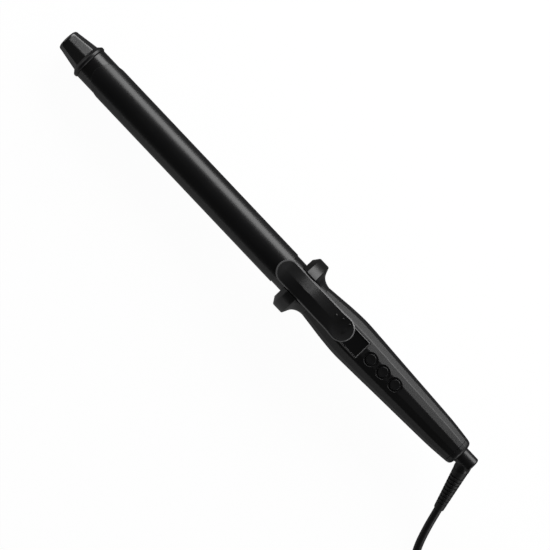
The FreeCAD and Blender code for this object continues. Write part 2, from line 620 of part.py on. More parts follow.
def rounded_path(points):
    """Wire of straight runs joined by tangent arcs, each as large as its two runs allow."""
    edges = []
    start = points[0]
    for before, corner, after in zip(points, points[1:], points[2:]):
        back, ahead = before - corner, after - corner
        turn = math.pi - back.getAngle(ahead)
        shorter = min(back.Length, ahead.Length)
        setback = 0.45 * shorter
        radius = setback / math.tan(turn / 2)
        print("cord arc radius %.1f mm, turn %.1f degrees" % (radius, math.degrees(turn)))
        first = corner + back.normalize() * setback
        last = corner + ahead.normalize() * setback
        bisector = (back + ahead).normalize()
        apex = corner + bisector * (radius / math.cos(turn / 2) - radius)
        edges.append(Part.LineSegment(start, first).toShape())
        edges.append(Part.Arc(first, apex, last).toShape())
        start = last
    edges.append(Part.LineSegment(start, points[-1]).toShape())
    return Part.Wire(edges)


def cord_tube(points):
    """Round tube along a route, with its volume compared with section times length."""
    radius = size("cord_diameter") / 2
    path = rounded_path(points)
    heading = (points[1] - points[0]).normalize()
    section = Part.Wire(Part.makeCircle(radius, points[0], heading))
    tube = path.makePipeShell([section], True, True)
    expected = math.pi * radius ** 2 * path.Length
    print("cord tube %.1f mm long, volume ratio %.4f" % (path.Length, tube.Volume / expected))
    return tube


def build_cord():
    """Cord lead, put-away coil, its tie, the tail and the plug, all lying on the table."""
    build_relief()
    for node, points in (("cord_lead", [along_relief("relief_reach")] + [V(*p) for p in LEAD_ROUTE]),
                         ("cord_tail", [V(*p) for p in TAIL_ROUTE])):
        item = doc.addObject("Part::Feature", node + "_tube")
        item.Shape = cord_tube(points)
        keep(item, node)

    keep(coil_ring("coil", 0), "cord_coil")
    length, skin = 12.0, 0.75
    strap = doc.addObject("Part::Box", "strap")
    bind(strap, Length="coil_width + %s" % (4 * skin), Height="coil_height + %s" % (2 * skin))
    strap.Width = length
    turn = FreeCAD.Rotation(V(0, 0, 1), -60)
    corner = V(size("coil_radius - coil_width / 2") - 2 * skin, -length / 2, size("coil_base") - skin)
    strap.Placement = FreeCAD.Placement(coil_centre(), turn).multiply(FreeCAD.Placement(corner, FreeCAD.Rotation()))
    keep(cut("tie", strap, coil_ring("tie_room", 0.08)), "cord_tie")
    build_plug()


def coil_ring(name, margin):
    """Ring with rounded edges that holds all the coil's turns, grown by a margin."""
    centre = coil_centre()
    wound = rod_z(name + "_outside", "coil_radius + coil_width / 2 + %s" % margin,
                  "coil_base - %s" % margin, "coil_base + coil_height + %s" % margin, centre.x, centre.y)
    eye = rod_z(name + "_eye", "coil_radius - coil_width / 2 - %s" % margin, -5, 40, centre.x, centre.y)
    return soften(name, cut(name + "_ring", wound, eye), 4.0,
                  lambda edge: edge.Curve.TypeId == "Part::GeomCircle")


def build_plug():
    """Two-pin plug at the cord's end, lying beside the coil."""
    tail_end, before = V(*TAIL_ROUTE[-1]), V(*TAIL_ROUTE[-2])
    heading = V(tail_end.x - before.x, tail_end.y - before.y, 0)
    angle = math.degrees(math.atan2(heading.y, heading.x))
    stand = FreeCAD.Placement(V(tail_end.x, tail_end.y, 0), FreeCAD.Rotation(V(0, 0, 1), angle))
    body = doc.addObject("Part::Box", "plug_blank")
    body.Length, body.Width, body.Height = 34, 25, 15
    body.Placement = stand.multiply(FreeCAD.Placement(V(0, -12.5, 0), FreeCAD.Rotation()))
    keep(soften("plug", body, 3.0, lambda edge: True), "plug_body")
    blades = []
    for side in (-1, 1):
        blade = doc.addObject("Part::Box", "blade_%d" % side)
        blade.Length, blade.Width, blade.Height = 17.4, 1.5, 6.3
        place = FreeCAD.Placement(V(34.02, 6.35 * side - 0.75, 7.5 - 3.15), FreeCAD.Rotation())
        blade.Placement = stand.multiply(place)
        blades.append(blade)
    keep(group("blade_pair", blades), "plug_blades")


# ---------------------------------------------------------------- resting pose and export

ON_TABLE = ("strain_relief", "cord_lead", "cord_coil", "cord_tie", "cord_tail", "plug_body", "plug_blades")


def rest_shift():
    """How far the iron moves along the table so that the origin lies under its middle."""
    return -size("(tip_end + swivel_back) / 2 * cos(rest_dip * 1 deg)")


def rest_placement():
    """Common placement that sets the iron down on its tip collar and its guard foot."""
    dip = math.radians(size("rest_dip"))
    lip = size("barrel_front + 2.6")
    lift = size("collar_radius") * math.cos(dip) + lip * math.sin(dip)
    return FreeCAD.Placement(V(rest_shift(), 0, lift), FreeCAD.Rotation(V(0, 1, 0), math.degrees(dip)))


def place_parts():
    """Move every piece of the iron from its own frame to the table."""
    doc.recompute()
    for item in parts:
        if item.Label not in ON_TABLE:
            item.Placement = rest_placement().multiply(item.Placement)
    doc.recompute()


def check_parts():
    """Stop if an object failed or a sub-part's shape is not sound."""
    for item in doc.Objects:
        if "Invalid" in item.State or "Error" in item.State:
            raise RuntimeError("%s failed: %s" % (item.Label, item.State))
    for item in parts:
        shape = item.Shape
        if shape.isNull() or not shape.isValid() or not shape.Solids:
            raise RuntimeError("%s has no valid solid" % item.Label)


def export_parts():
    """Write one STEP file for each sub-part."""
    os.makedirs("parts", exist_ok=True)
    for item in parts:
        item.Shape.exportStep("parts/%s.step" % item.Label)
        box = item.Shape.BoundBox
        print("%-22s solids %d volume %9.1f  z %.2f to %.2f" % (
            item.Label, len(item.Shape.Solids), item.Shape.Volume, box.ZMin, box.ZMax))


fill_sheet()
build_tip()
build_barrel()
build_heater()
build_clip()
build_hinge()
build_spring()
build_lever()
build_guard()
build_handle()
build_display()
build_buttons()
build_electronics()
build_swivel()
build_cord()
place_parts()
check_parts()
export_parts()
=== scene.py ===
"""Looks of a curling iron with a sprung clip, thumb lever, digital handle and swivel cord.

Every piece is modelled in the iron's own lying frame, in millimetres: X runs along the barrel
towards the cool tip from the heat guard's front face, and Z points up through the lever.  Rest puts
it on the table.  The cord, its tie and its plug are modelled on the table, in the table's frame.
"""
from __future__ import annotations

import json
import logging
import math
from dataclasses import dataclass, field
from enum import Enum, auto
from functools import cached_property
from typing import Iterable, Sequence

import bmesh
import bpy
from mathutils import Matrix, Vector

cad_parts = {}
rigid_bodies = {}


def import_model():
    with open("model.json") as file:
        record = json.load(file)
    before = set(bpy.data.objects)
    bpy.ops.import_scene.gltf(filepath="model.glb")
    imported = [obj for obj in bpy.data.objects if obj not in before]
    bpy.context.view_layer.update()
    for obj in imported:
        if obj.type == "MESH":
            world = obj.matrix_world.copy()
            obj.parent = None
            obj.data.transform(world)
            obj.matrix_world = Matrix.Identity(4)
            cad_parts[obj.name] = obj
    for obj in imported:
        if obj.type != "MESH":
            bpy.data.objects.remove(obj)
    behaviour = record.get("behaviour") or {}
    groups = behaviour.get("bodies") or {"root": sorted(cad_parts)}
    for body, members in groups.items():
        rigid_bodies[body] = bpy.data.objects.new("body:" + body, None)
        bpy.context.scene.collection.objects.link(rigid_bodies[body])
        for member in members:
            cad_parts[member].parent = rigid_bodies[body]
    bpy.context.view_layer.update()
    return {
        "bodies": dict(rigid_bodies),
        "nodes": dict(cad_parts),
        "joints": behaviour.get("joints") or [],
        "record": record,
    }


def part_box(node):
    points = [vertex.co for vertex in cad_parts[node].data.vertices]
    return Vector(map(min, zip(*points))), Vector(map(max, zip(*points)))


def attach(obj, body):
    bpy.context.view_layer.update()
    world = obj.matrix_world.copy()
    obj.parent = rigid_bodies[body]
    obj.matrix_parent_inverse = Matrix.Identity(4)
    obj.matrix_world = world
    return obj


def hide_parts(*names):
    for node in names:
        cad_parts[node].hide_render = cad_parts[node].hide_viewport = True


log = logging.getLogger("curling_iron")
MM = 0.001
MERGE_DISTANCE = 2e-7
SLIVER_LENGTH = 1e-7
Point = tuple[float, float, float]
Pair = tuple[float, float]
Profile = Sequence[Pair]


# ---------------------------------------------------------------- frame and curves

class Rest:
    """The iron's own frame as it lies on the table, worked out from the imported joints."""

    HINGE_BACK = 5.0
    HINGE_HEIGHT = 16.3

    def __init__(self, joints: list[dict]) -> None:
        """Read the swivel's axis and the clip's pivot.

        Args:
            joints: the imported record's joints.
        """
        by_name = {joint["name"]: joint for joint in joints}
        along = Vector(by_name["cord_swivel"]["axis"]).normalized()
        across = Vector((0, 1, 0))
        up = along.cross(across).normalized()
        pivot = Vector(by_name["clip_hinge"]["pos_m"])
        origin = pivot + (along * self.HINGE_BACK - up * self.HINGE_HEIGHT) * MM
        self.matrix = Matrix.Translation(origin) @ Matrix((along, across, up)).transposed().to_4x4()
        self.turn = self.matrix.to_3x3()

    def place(self, x: float, y: float, z: float) -> Vector:
        """World position in metres of a point of the iron in millimetres."""
        return self.matrix @ (Vector((x, y, z)) * MM)

    def local(self, world_mm: Vector) -> Vector:
        """Iron coordinates in millimetres of a world point in millimetres."""
        return (self.matrix.inverted() @ (world_mm * MM)) / MM


class Line:
    """Smooth monotone line through listed points."""

    def __init__(self, points: Profile) -> None:
        """Sort the points and find the slope at each.

        Args:
            points: (position, value) pairs.
        """
        self.points = sorted(points)
        steps = [(b[1] - a[1]) / (b[0] - a[0]) for a, b in zip(self.points, self.points[1:])]
        inner = [0.0 if a * b <= 0 else 2 * a * b / (a + b) for a, b in zip(steps, steps[1:])]
        self.slopes = [steps[0], *inner, steps[-1]]

    def at(self, position: float) -> float:
        """Value of the line at a position, held at its ends.

        Args:
            position: where to read the line; beyond its ends it keeps its end value.

        Returns:
            The value there.
        """
        points = self.points
        position = min(max(position, points[0][0]), points[-1][0])
        index = max(i for i in range(len(points) - 1) if points[i][0] <= position)
        (x0, y0), (x1, y1) = points[index], points[index + 1]
        width = x1 - x0
        t = (position - x0) / width
        rise = y1 - y0
        m0, m1 = self.slopes[index] * width, self.slopes[index + 1] * width
        return y0 + m0 * t + (3 * rise - 2 * m0 - m1) * t ** 2 + (m0 + m1 - 2 * rise) * t ** 3


def spread(low: float, high: float, count: int) -> list[float]:
    """Evenly spaced numbers from low to high, both included."""
    return [low + (high - low) * i / (count - 1) for i in range(count)]


def ease(value: float, low: float, high: float) -> float:
    """Smooth step from 0 at low to 1 at high."""
    t = min(max((value - low) / (high - low), 0.0), 1.0)
    return t * t * (3 - 2 * t)


def circle(radius: float, count: int) -> list[Pair]:
    """Evenly spaced points round a circle, the first on its first axis."""
    angles = [2 * math.pi * i / count for i in range(count)]
    return [(radius * math.cos(a), radius * math.sin(a)) for a in angles]


def box(width: float, height: float) -> list[Pair]:
    """Corners of a rectangle from its half width and half height."""
    return [(-width, -height), (width, -height), (width, height), (-width, height)]


def rounded(profile: Profile, radius: float, steps: int = 4) -> list[Pair]:
    """Round the corners of a closed outline.

    Args:
        profile: corner points.
        radius: rounding at each corner, less where a side is short.
        steps: points in each rounding.

    Returns:
        The outline with an arc-like curve at each corner.
    """
    points = [Vector(p) for p in profile]
    result: list[Pair] = []
    for i, corner in enumerate(points):
        before, after = points[i - 1], points[(i + 1) % len(points)]
        back, ahead = before - corner, after - corner
        reach = min(radius, 0.45 * back.length, 0.45 * ahead.length)
        start, end = corner + back.normalized() * reach, corner + ahead.normalized() * reach
        for t in spread(0, 1, steps):
            result.append(tuple(start * (1 - t) ** 2 + corner * 2 * t * (1 - t) + end * t ** 2))
    return result


# ---------------------------------------------------------------- meshes

class Shape:
    """A closed mesh under construction, in the iron's frame and in millimetres."""

    def __init__(self) -> None:
        """Start empty."""
        self.points: list[Point] = []
        self.faces: list[tuple[int, ...]] = []

    def ring(self, points: Iterable[Sequence[float]]) -> list[int]:
        """Add a row of points and give their numbers.

        Args:
            points: the row, in order.

        Returns:
            Their numbers.
        """
        start = len(self.points)
        self.points += [tuple(p) for p in points]
        return list(range(start, len(self.points)))

    def bridge(self, first: Sequence[int], second: Sequence[int], closed: bool = True) -> None:
        """Join two rows of equal length with quads.

        Args:
            first: one row's numbers.
            second: the other row's numbers.
            closed: whether the rows run round to their own start.
        """
        count = len(first)
        for i in range(count if closed else count - 1):
            j = (i + 1) % count
            self.faces.append((first[i], first[j], second[j], second[i]))

    def chain(self, rows: Sequence[Sequence[int]], closed: bool = True) -> None:
        """Join each row to the next."""
        for first, second in zip(rows, rows[1:]):
            self.bridge(first, second, closed)

    def loft(self, rings: Sequence[Iterable[Sequence[float]]], loop: bool = False) -> "Shape":
        """Join closed rings in order.

        Args:
            rings: rows of points, all with the same count.
            loop: whether the last ring joins the first, as in a tube with a wall; if not, the
                two end rings are filled.

        Returns:
            This shape.
        """
        rows = [self.ring(r) for r in rings]
        self.chain(rows)
        if loop:
            self.bridge(rows[-1], rows[0])
        else:
            self.faces.append(tuple(reversed(rows[0])))
            self.faces.append(tuple(rows[-1]))
        return self

    def lathe(self, outline: Profile, count: int = 96, loop: bool = True) -> "Shape":
        """Turn an (x, radius) outline about the X axis."""
        return self.loft([[(x, y, z) for z, y in circle(r, count)] for x, r in outline], loop=loop)

    def moved(self, matrix: Matrix) -> "Shape":
        """Move every point by a matrix in millimetres."""
        self.points = [tuple(matrix @ Vector(p)) for p in self.points]
        return self


class Shop:
    """Turns shapes into dressed objects on their bodies."""

    def __init__(self, rest: Rest, finishes: "Palette") -> None:
        """Keep the resting frame and the palette of finishes."""
        self.rest = rest
        self.finishes = finishes

    def build(self, name: str, shape: Shape, on_table: bool = False) -> bpy.types.Object:
        """Make an object with outward normals from a shape.

        Args:
            name: the piece's name.
            shape: its points and faces.
            on_table: whether the points are in the table's frame instead of the iron's.

        Returns:
            The new object, at the origin, with its place in its mesh.
        """
        mesh = bpy.data.meshes.new(name)
        matrix = Matrix.Identity(4) if on_table else self.rest.matrix
        mesh.from_pydata([matrix @ (Vector(p) * MM) for p in shape.points], [], shape.faces)
        item = bpy.data.objects.new(name, mesh)
        bpy.context.scene.collection.objects.link(item)
        work = bmesh.new()
        work.from_mesh(mesh)
        bmesh.ops.remove_doubles(work, verts=work.verts, dist=MERGE_DISTANCE)
        bmesh.ops.dissolve_degenerate(work, edges=work.edges, dist=SLIVER_LENGTH)
        bmesh.ops.recalc_face_normals(work, faces=work.faces)
        work.to_mesh(mesh)
        work.free()
        return item

    def apply(self, item: bpy.types.Object, kind: str, **settings: object) -> None:
        """Add a modifier, keep its result and drop it.

        Args:
            item: the object.
            kind: the modifier's type.
            settings: its settings.
        """
        modifier = item.modifiers.new(kind.title(), kind)
        for key, value in settings.items():
            setattr(modifier, key, value)
        bpy.context.view_layer.update()
        graph = bpy.context.evaluated_depsgraph_get()
        result = bpy.data.meshes.new_from_object(item.evaluated_get(graph))
        item.modifiers.clear()
        item.data = result

    def carve(self, item: bpy.types.Object, tools: Sequence[bpy.types.Object],
              keep: str = "DIFFERENCE") -> None:
        """Cut, join or intersect an object with tools, which are used up.

        Args:
            item: the object that stays.
            tools: the objects that act on it.
            keep: the operation: DIFFERENCE, UNION or INTERSECT.
        """
        for tool in tools:
            self.apply(item, "BOOLEAN", object=tool, operation=keep, solver="EXACT")
            bpy.data.objects.remove(tool)

    def dress(self, item: bpy.types.Object, slot: str, body: str, replaces: Sequence[str] = (),
              sharp: float = 35.0, weighted: bool = True) -> bpy.types.Object:
        """Shade, colour, slot and mount a finished piece.

        Args:
            item: the piece.
            slot: the record's material slot.
            body: the body that it rides on.
            replaces: the CAD nodes that it stands for.
            sharp: angle in degrees above which an edge stays crisp.
            weighted: whether large faces keep their own normals.

        Returns:
            The piece.
        """
        item.data.materials.clear()
        item.data.materials.append(self.finishes.material(slot))
        item.data.shade_smooth()
        item.data.set_sharp_from_angle(angle=math.radians(sharp))
        if weighted:
            self.apply(item, "WEIGHTED_NORMAL", keep_sharp=True, weight=60)
        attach(item, body)
        if replaces:
            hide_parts(*replaces)
        log.info("%s: %d faces on %s", item.name, len(item.data.polygons), body)
        return item

    def peg(self, x: float, y: float, outline: Profile, count: int = 64) -> bpy.types.Object:
        """Upright turned tool from a (radius, height) outline, used for cutting."""
        rings = [[(x + dx, y + dy, z) for dx, dy in circle(r, count)] for r, z in outline]
        return self.build("peg", Shape().loft(rings))

    def slab(self, low: Point, high: Point, radius: float = 0.0) -> bpy.types.Object:
        """Upright block between two corners, with its four upright edges rounded.

        Args:
            low: corner with the least coordinates.
            high: corner with the greatest coordinates.
            radius: rounding of the upright edges.

        Returns:
            The block.
        """
        corners = [(low[0], low[1]), (high[0], low[1]), (high[0], high[1]), (low[0], high[1])]
        outline = rounded(corners, radius, 6) if radius else corners
        rings = [[(x, y, z) for x, y in outline] for z in (low[2], high[2])]
        return self.build("slab", Shape().loft(rings))


# ---------------------------------------------------------------- finishes

class Style(Enum):
    """Kinds of surface."""

    MOULDED = auto()
    COATED = auto()
    METAL = auto()
    RUBBER = auto()
    CERAMIC = auto()
    GLOSS = auto()
    WOVEN = auto()


@dataclass(frozen=True)
class Finish:
    """Colour and surface of one material slot."""

    colour: Point
    roughness: float
    style: Style = Style.MOULDED
    metallic: float = 0.0
    coat: float = 0.0
    specular: float = 0.5

    def shades(self) -> tuple[Point, Point]:
        """Dark and light ends of the colour."""
        return (tuple(c * 0.78 for c in self.colour),
                tuple(min(1.0, c * 1.35 + 0.002) for c in self.colour))


class Wire:
    """A shader socket that takes part in arithmetic."""

    def __init__(self, sheet: "NodeSheet", socket: bpy.types.NodeSocket) -> None:
        """Hold a socket and the sheet that it is on."""
        self.sheet = sheet
        self.socket = socket

    def _math(self, operation: str, first: object, second: object) -> "Wire":
        """Add one Math node."""
        return self.sheet.add("ShaderNodeMath", {"operation": operation}, {0: first, 1: second})

    def __add__(self, other: object) -> "Wire":
        """Sum."""
        return self._math("ADD", self, other)

    __radd__ = __add__

    def __sub__(self, other: object) -> "Wire":
        """Difference."""
        return self._math("SUBTRACT", self, other)

    def __rsub__(self, other: object) -> "Wire":
        """Difference with this as the second term."""
        return self._math("SUBTRACT", other, self)

    def __mul__(self, other: object) -> "Wire":
        """Product."""
        return self._math("MULTIPLY", self, other)

    __rmul__ = __mul__


class NodeSheet:
    """Node tree of one material, or of the world."""

    MIX_ENDS = (6, 7)
    MIX_COLOUR = 2
    NOISE_ROUGHNESS = 0.6

    def __init__(self, owner: bpy.types.Material | bpy.types.World) -> None:
        """Start with an empty tree.

        Args:
            owner: the material or world that the nodes belong to.
        """
        owner.use_nodes = True
        self.owner = owner
        self.tree = owner.node_tree
        self.tree.nodes.clear()

    @cached_property
    def place(self) -> "Wire":
        """Coordinates on the object."""
        return self.add("ShaderNodeTexCoord", {}, {}, "Object")

    def node(self, kind: str, settings: dict[str, object],
             sockets: dict[object, object]) -> bpy.types.Node:
        """Make any node.

        Args:
            kind: the node's type.
            settings: its own settings, set first.
            sockets: values or wires of its inputs, by name or number.

        Returns:
            The node.
        """
        node = self.tree.nodes.new(kind)
        for key, value in settings.items():
            setattr(node, key, value)
        for key, value in sockets.items():
            if isinstance(value, Wire):
                self.tree.links.new(value.socket, node.inputs[key])
            else:
                node.inputs[key].default_value = value
        return node

    def add(self, kind: str, settings: dict[str, object], sockets: dict[object, object],
            output: object = 0) -> Wire:
        """Make any node and give back one of its outputs, by name or number."""
        return Wire(self, self.node(kind, settings, sockets).outputs[output])

    def noise(self, scale: float, detail: float = 3.0, stretch: Point = (1, 1, 1)) -> Wire:
        """Noise of a scale in cycles per metre, which may be stretched along the axes.

        Args:
            scale: cycles per metre.
            detail: octaves.
            stretch: factor on each axis, low where the grain is long.

        Returns:
            Its value, about 0.5 on average.
        """
        place = self.add("ShaderNodeMapping", {}, {"Vector": self.place, "Scale": stretch})
        sockets = {"Vector": place, "Scale": scale, "Detail": detail,
                   "Roughness": self.NOISE_ROUGHNESS}
        return self.add("ShaderNodeTexNoise", {}, sockets, "Fac")

    def blend(self, first: Point | Wire, second: Point | Wire, factor: Wire) -> Wire:
        """Colour between two by a factor.

        Args:
            first: colour at a factor of 0.
            second: colour at a factor of 1.
            factor: share of the second.

        Returns:
            The colour.
        """
        ends = [end if isinstance(end, Wire) else (*end, 1) for end in (first, second)]
        sockets = {"Factor": factor, **dict(zip(self.MIX_ENDS, ends))}
        return self.add("ShaderNodeMix", {"data_type": "RGBA"}, sockets, self.MIX_COLOUR)

    def bump(self, height: Wire, strength: float, depth: float) -> Wire:
        """Bump of a height, its depth in metres."""
        sockets = {"Height": height, "Strength": strength, "Distance": depth}
        return self.add("ShaderNodeBump", {}, sockets)


class Surface:
    """What varies over a finish: its shade from dark to light, its roughness and its relief."""

    ALONG = (0.06, 1, 1)
    BRUSHED = (0.08, 1, 1)
    WEAVE_SCALE = 420.0

    def __init__(self, sheet: NodeSheet, finish: Finish) -> None:
        """Work out the three for a finish.

        Args:
            sheet: where the nodes go.
            finish: the finish, whose style picks the method.
        """
        self.sheet = sheet
        self.cloudy = sheet.noise(38, 4)
        self.smear = sheet.noise(140, 3)
        self.shade = self.cloudy
        self.roughness = finish.roughness + (self.cloudy - 0.5) * 0.10 + (self.smear - 0.5) * 0.06
        styles = {Style.MOULDED: self.moulded, Style.COATED: self.coated, Style.METAL: self.metal,
                  Style.RUBBER: self.rubber, Style.CERAMIC: self.ceramic, Style.GLOSS: self.gloss,
                  Style.WOVEN: self.woven}
        self.normal = styles[finish.style]()

    def moulded(self) -> Wire:
        """Fine grain left by a mould."""
        fine, coarse = self.sheet.noise(2600, 2), self.sheet.noise(900, 2)
        return self.sheet.bump(fine * 0.6 + coarse * 0.4, 0.1, 0.00005)

    def coated(self) -> Wire:
        """Sprayed coating with faint streaks along the barrel.

        Returns:
            The normal.
        """
        streak, speck = self.sheet.noise(420, 3, self.ALONG), self.sheet.noise(3000, 2)
        self.shade = self.cloudy * 0.6 + streak * 0.4
        self.roughness = self.roughness + (streak - 0.5) * 0.08
        return self.sheet.bump(speck * 0.6 + streak * 0.4, 0.05, 0.00003)

    def metal(self) -> Wire:
        """Brushed or drawn lines.

        Returns:
            The normal.
        """
        lines = self.sheet.noise(900, 3, self.BRUSHED)
        self.roughness = self.roughness + (lines - 0.5) * 0.2
        return self.sheet.bump(lines, 0.18, 0.00005)

    def rubber(self) -> Wire:
        """Soft matt skin.

        Returns:
            The normal.
        """
        fine = self.sheet.noise(1500, 3)
        self.roughness = self.roughness + (fine - 0.5) * 0.08
        return self.sheet.bump(fine, 0.2, 0.00008)

    def ceramic(self) -> Wire:
        """Gritty fired body.

        Returns:
            The normal.
        """
        grit = self.sheet.noise(700, 5)
        self.shade = self.cloudy * 0.5 + grit * 0.5
        return self.sheet.bump(grit, 0.25, 0.0001)

    def gloss(self) -> Wire:
        """Nearly smooth skin."""
        return self.sheet.bump(self.smear, 0.03, 0.00005)

    def woven(self) -> Wire:
        """Plain weave of a strap.

        Returns:
            The normal.
        """
        sockets = {"Vector": self.sheet.place, "Scale": self.WEAVE_SCALE, "Distortion": 0.6,
                   "Detail": 1.0}
        across, along = [self.sheet.add("ShaderNodeTexWave", {"bands_direction": direction},
                                        sockets, "Fac") for direction in ("Z", "X")]
        weave = across * along
        self.shade = self.cloudy * 0.4 + weave * 0.6
        return self.sheet.bump(weave, 0.5, 0.0002)


class Palette:
    """All finishes of the iron by material slot."""

    COAT_ROUGHNESS = 0.2
    # Painted highlight: the lever's slot blends its rim towards this pale grey, in place of light
    # caught along the edge.
    PAINTED_HIGHLIGHT_SLOT = "lever_plastic"
    PAINTED_HIGHLIGHT_COLOUR = (0.15, 0.15, 0.153)
    FINISHES = {
        "barrel_coating": Finish((0.0046, 0.0046, 0.005), 0.27, Style.COATED, coat=0.25),
        "clip_coating": Finish((0.005, 0.005, 0.0055), 0.33, Style.COATED, coat=0.12),
        "tip_plastic": Finish((0.0063, 0.0063, 0.0067), 0.28, specular=1.0),
        "collar_plastic": Finish((0.0055, 0.0055, 0.0059), 0.34, specular=0.55),
        "guard_plastic": Finish((0.0055, 0.0055, 0.0059), 0.33, specular=0.55),
        "lever_plastic": Finish((0.0045, 0.0045, 0.005), 0.32, specular=0.85),
        "handle_plastic": Finish((0.0055, 0.0055, 0.0059), 0.38),
        "bezel_plastic": Finish((0.008, 0.008, 0.0085), 0.22, coat=0.3),
        "window_plastic": Finish((0.0017, 0.0017, 0.0021), 0.12, Style.GLOSS, coat=0.6),
        "button_plastic": Finish((0.0055, 0.0055, 0.0059), 0.33),
        "spring_steel": Finish((0.42, 0.42, 0.43), 0.3, Style.METAL, 1.0),
        "screw_steel": Finish((0.16, 0.16, 0.17), 0.34, Style.METAL, 1.0),
        "heater_ceramic": Finish((0.74, 0.72, 0.66), 0.55, Style.CERAMIC),
        "spreader_aluminium": Finish((0.72, 0.73, 0.74), 0.36, Style.METAL, 1.0),
        "insulator_resin": Finish((0.09, 0.06, 0.045), 0.5),
        "sensor_glass": Finish((0.3, 0.22, 0.15), 0.15, Style.GLOSS, coat=0.4),
        "fuse_metal": Finish((0.55, 0.54, 0.5), 0.3, Style.METAL, 1.0),
        "wire_insulation": Finish((0.62, 0.6, 0.54), 0.55, Style.RUBBER),
        "board_laminate": Finish((0.03, 0.14, 0.06), 0.4, Style.COATED),
        "component_plastic": Finish((0.0084, 0.0084, 0.0092), 0.45),
        "capacitor_film": Finish((0.42, 0.28, 0.05), 0.35),
        "module_plastic": Finish((0.05, 0.055, 0.06), 0.3),
        "contact_brass": Finish((0.6, 0.44, 0.2), 0.3, Style.METAL, 1.0),
        "swivel_plastic": Finish((0.005, 0.005, 0.0055), 0.32, specular=0.55),
        "relief_rubber": Finish((0.0059, 0.0059, 0.0063), 0.5, Style.RUBBER),
        "cord_jacket": Finish((0.0063, 0.0063, 0.0067), 0.44, Style.RUBBER),
        "tie_strap": Finish((0.0084, 0.0084, 0.0088), 0.75, Style.WOVEN),
        "plug_pvc": Finish((0.0063, 0.0063, 0.0067), 0.45, Style.RUBBER),
        "blade_metal": Finish((0.66, 0.6, 0.46), 0.26, Style.METAL, 1.0),
    }

    def __init__(self) -> None:
        """Start with no material made."""
        self.made: dict[str, bpy.types.Material] = {}

    def material(self, slot: str) -> bpy.types.Material:
        """The material of a slot, made once.

        Args:
            slot: its material slot.

        Returns:
            The material.
        """
        if slot not in self.made:
            self.made[slot] = self._make(slot, self.FINISHES[slot])
        return self.made[slot]

    def _make(self, slot: str, finish: Finish) -> bpy.types.Material:
        """Build the material of a slot from its finish.

        Args:
            slot: its material slot.
            finish: its colour and surface.

        Returns:
            The material.
        """
        sheet = NodeSheet(bpy.data.materials.new("looks_" + slot))
        surface = Surface(sheet, finish)
        colour = sheet.blend(*finish.shades(), surface.shade)
        # Painted highlight: lighten the lever's rim by its per-vertex mask, standing in for light
        # along the edge.
        if slot == self.PAINTED_HIGHLIGHT_SLOT:
            rim_highlight = sheet.add("ShaderNodeAttribute", {"attribute_name": "rim_highlight"}, {}, "Fac")
            colour = sheet.blend(colour, self.PAINTED_HIGHLIGHT_COLOUR, rim_highlight)
        shader = sheet.add("ShaderNodeBsdfPrincipled", {}, {
            "Base Color": colour, "Roughness": surface.roughness, "Metallic": finish.metallic,
            "Specular IOR Level": finish.specular, "Coat Weight": finish.coat,
            "Coat Roughness": self.COAT_ROUGHNESS, "Normal": surface.normal})
        sheet.node("ShaderNodeOutputMaterial", {}, {"Surface": shader})
        return sheet.owner


# ---------------------------------------------------------------- front: tip, collar, barrel, clip

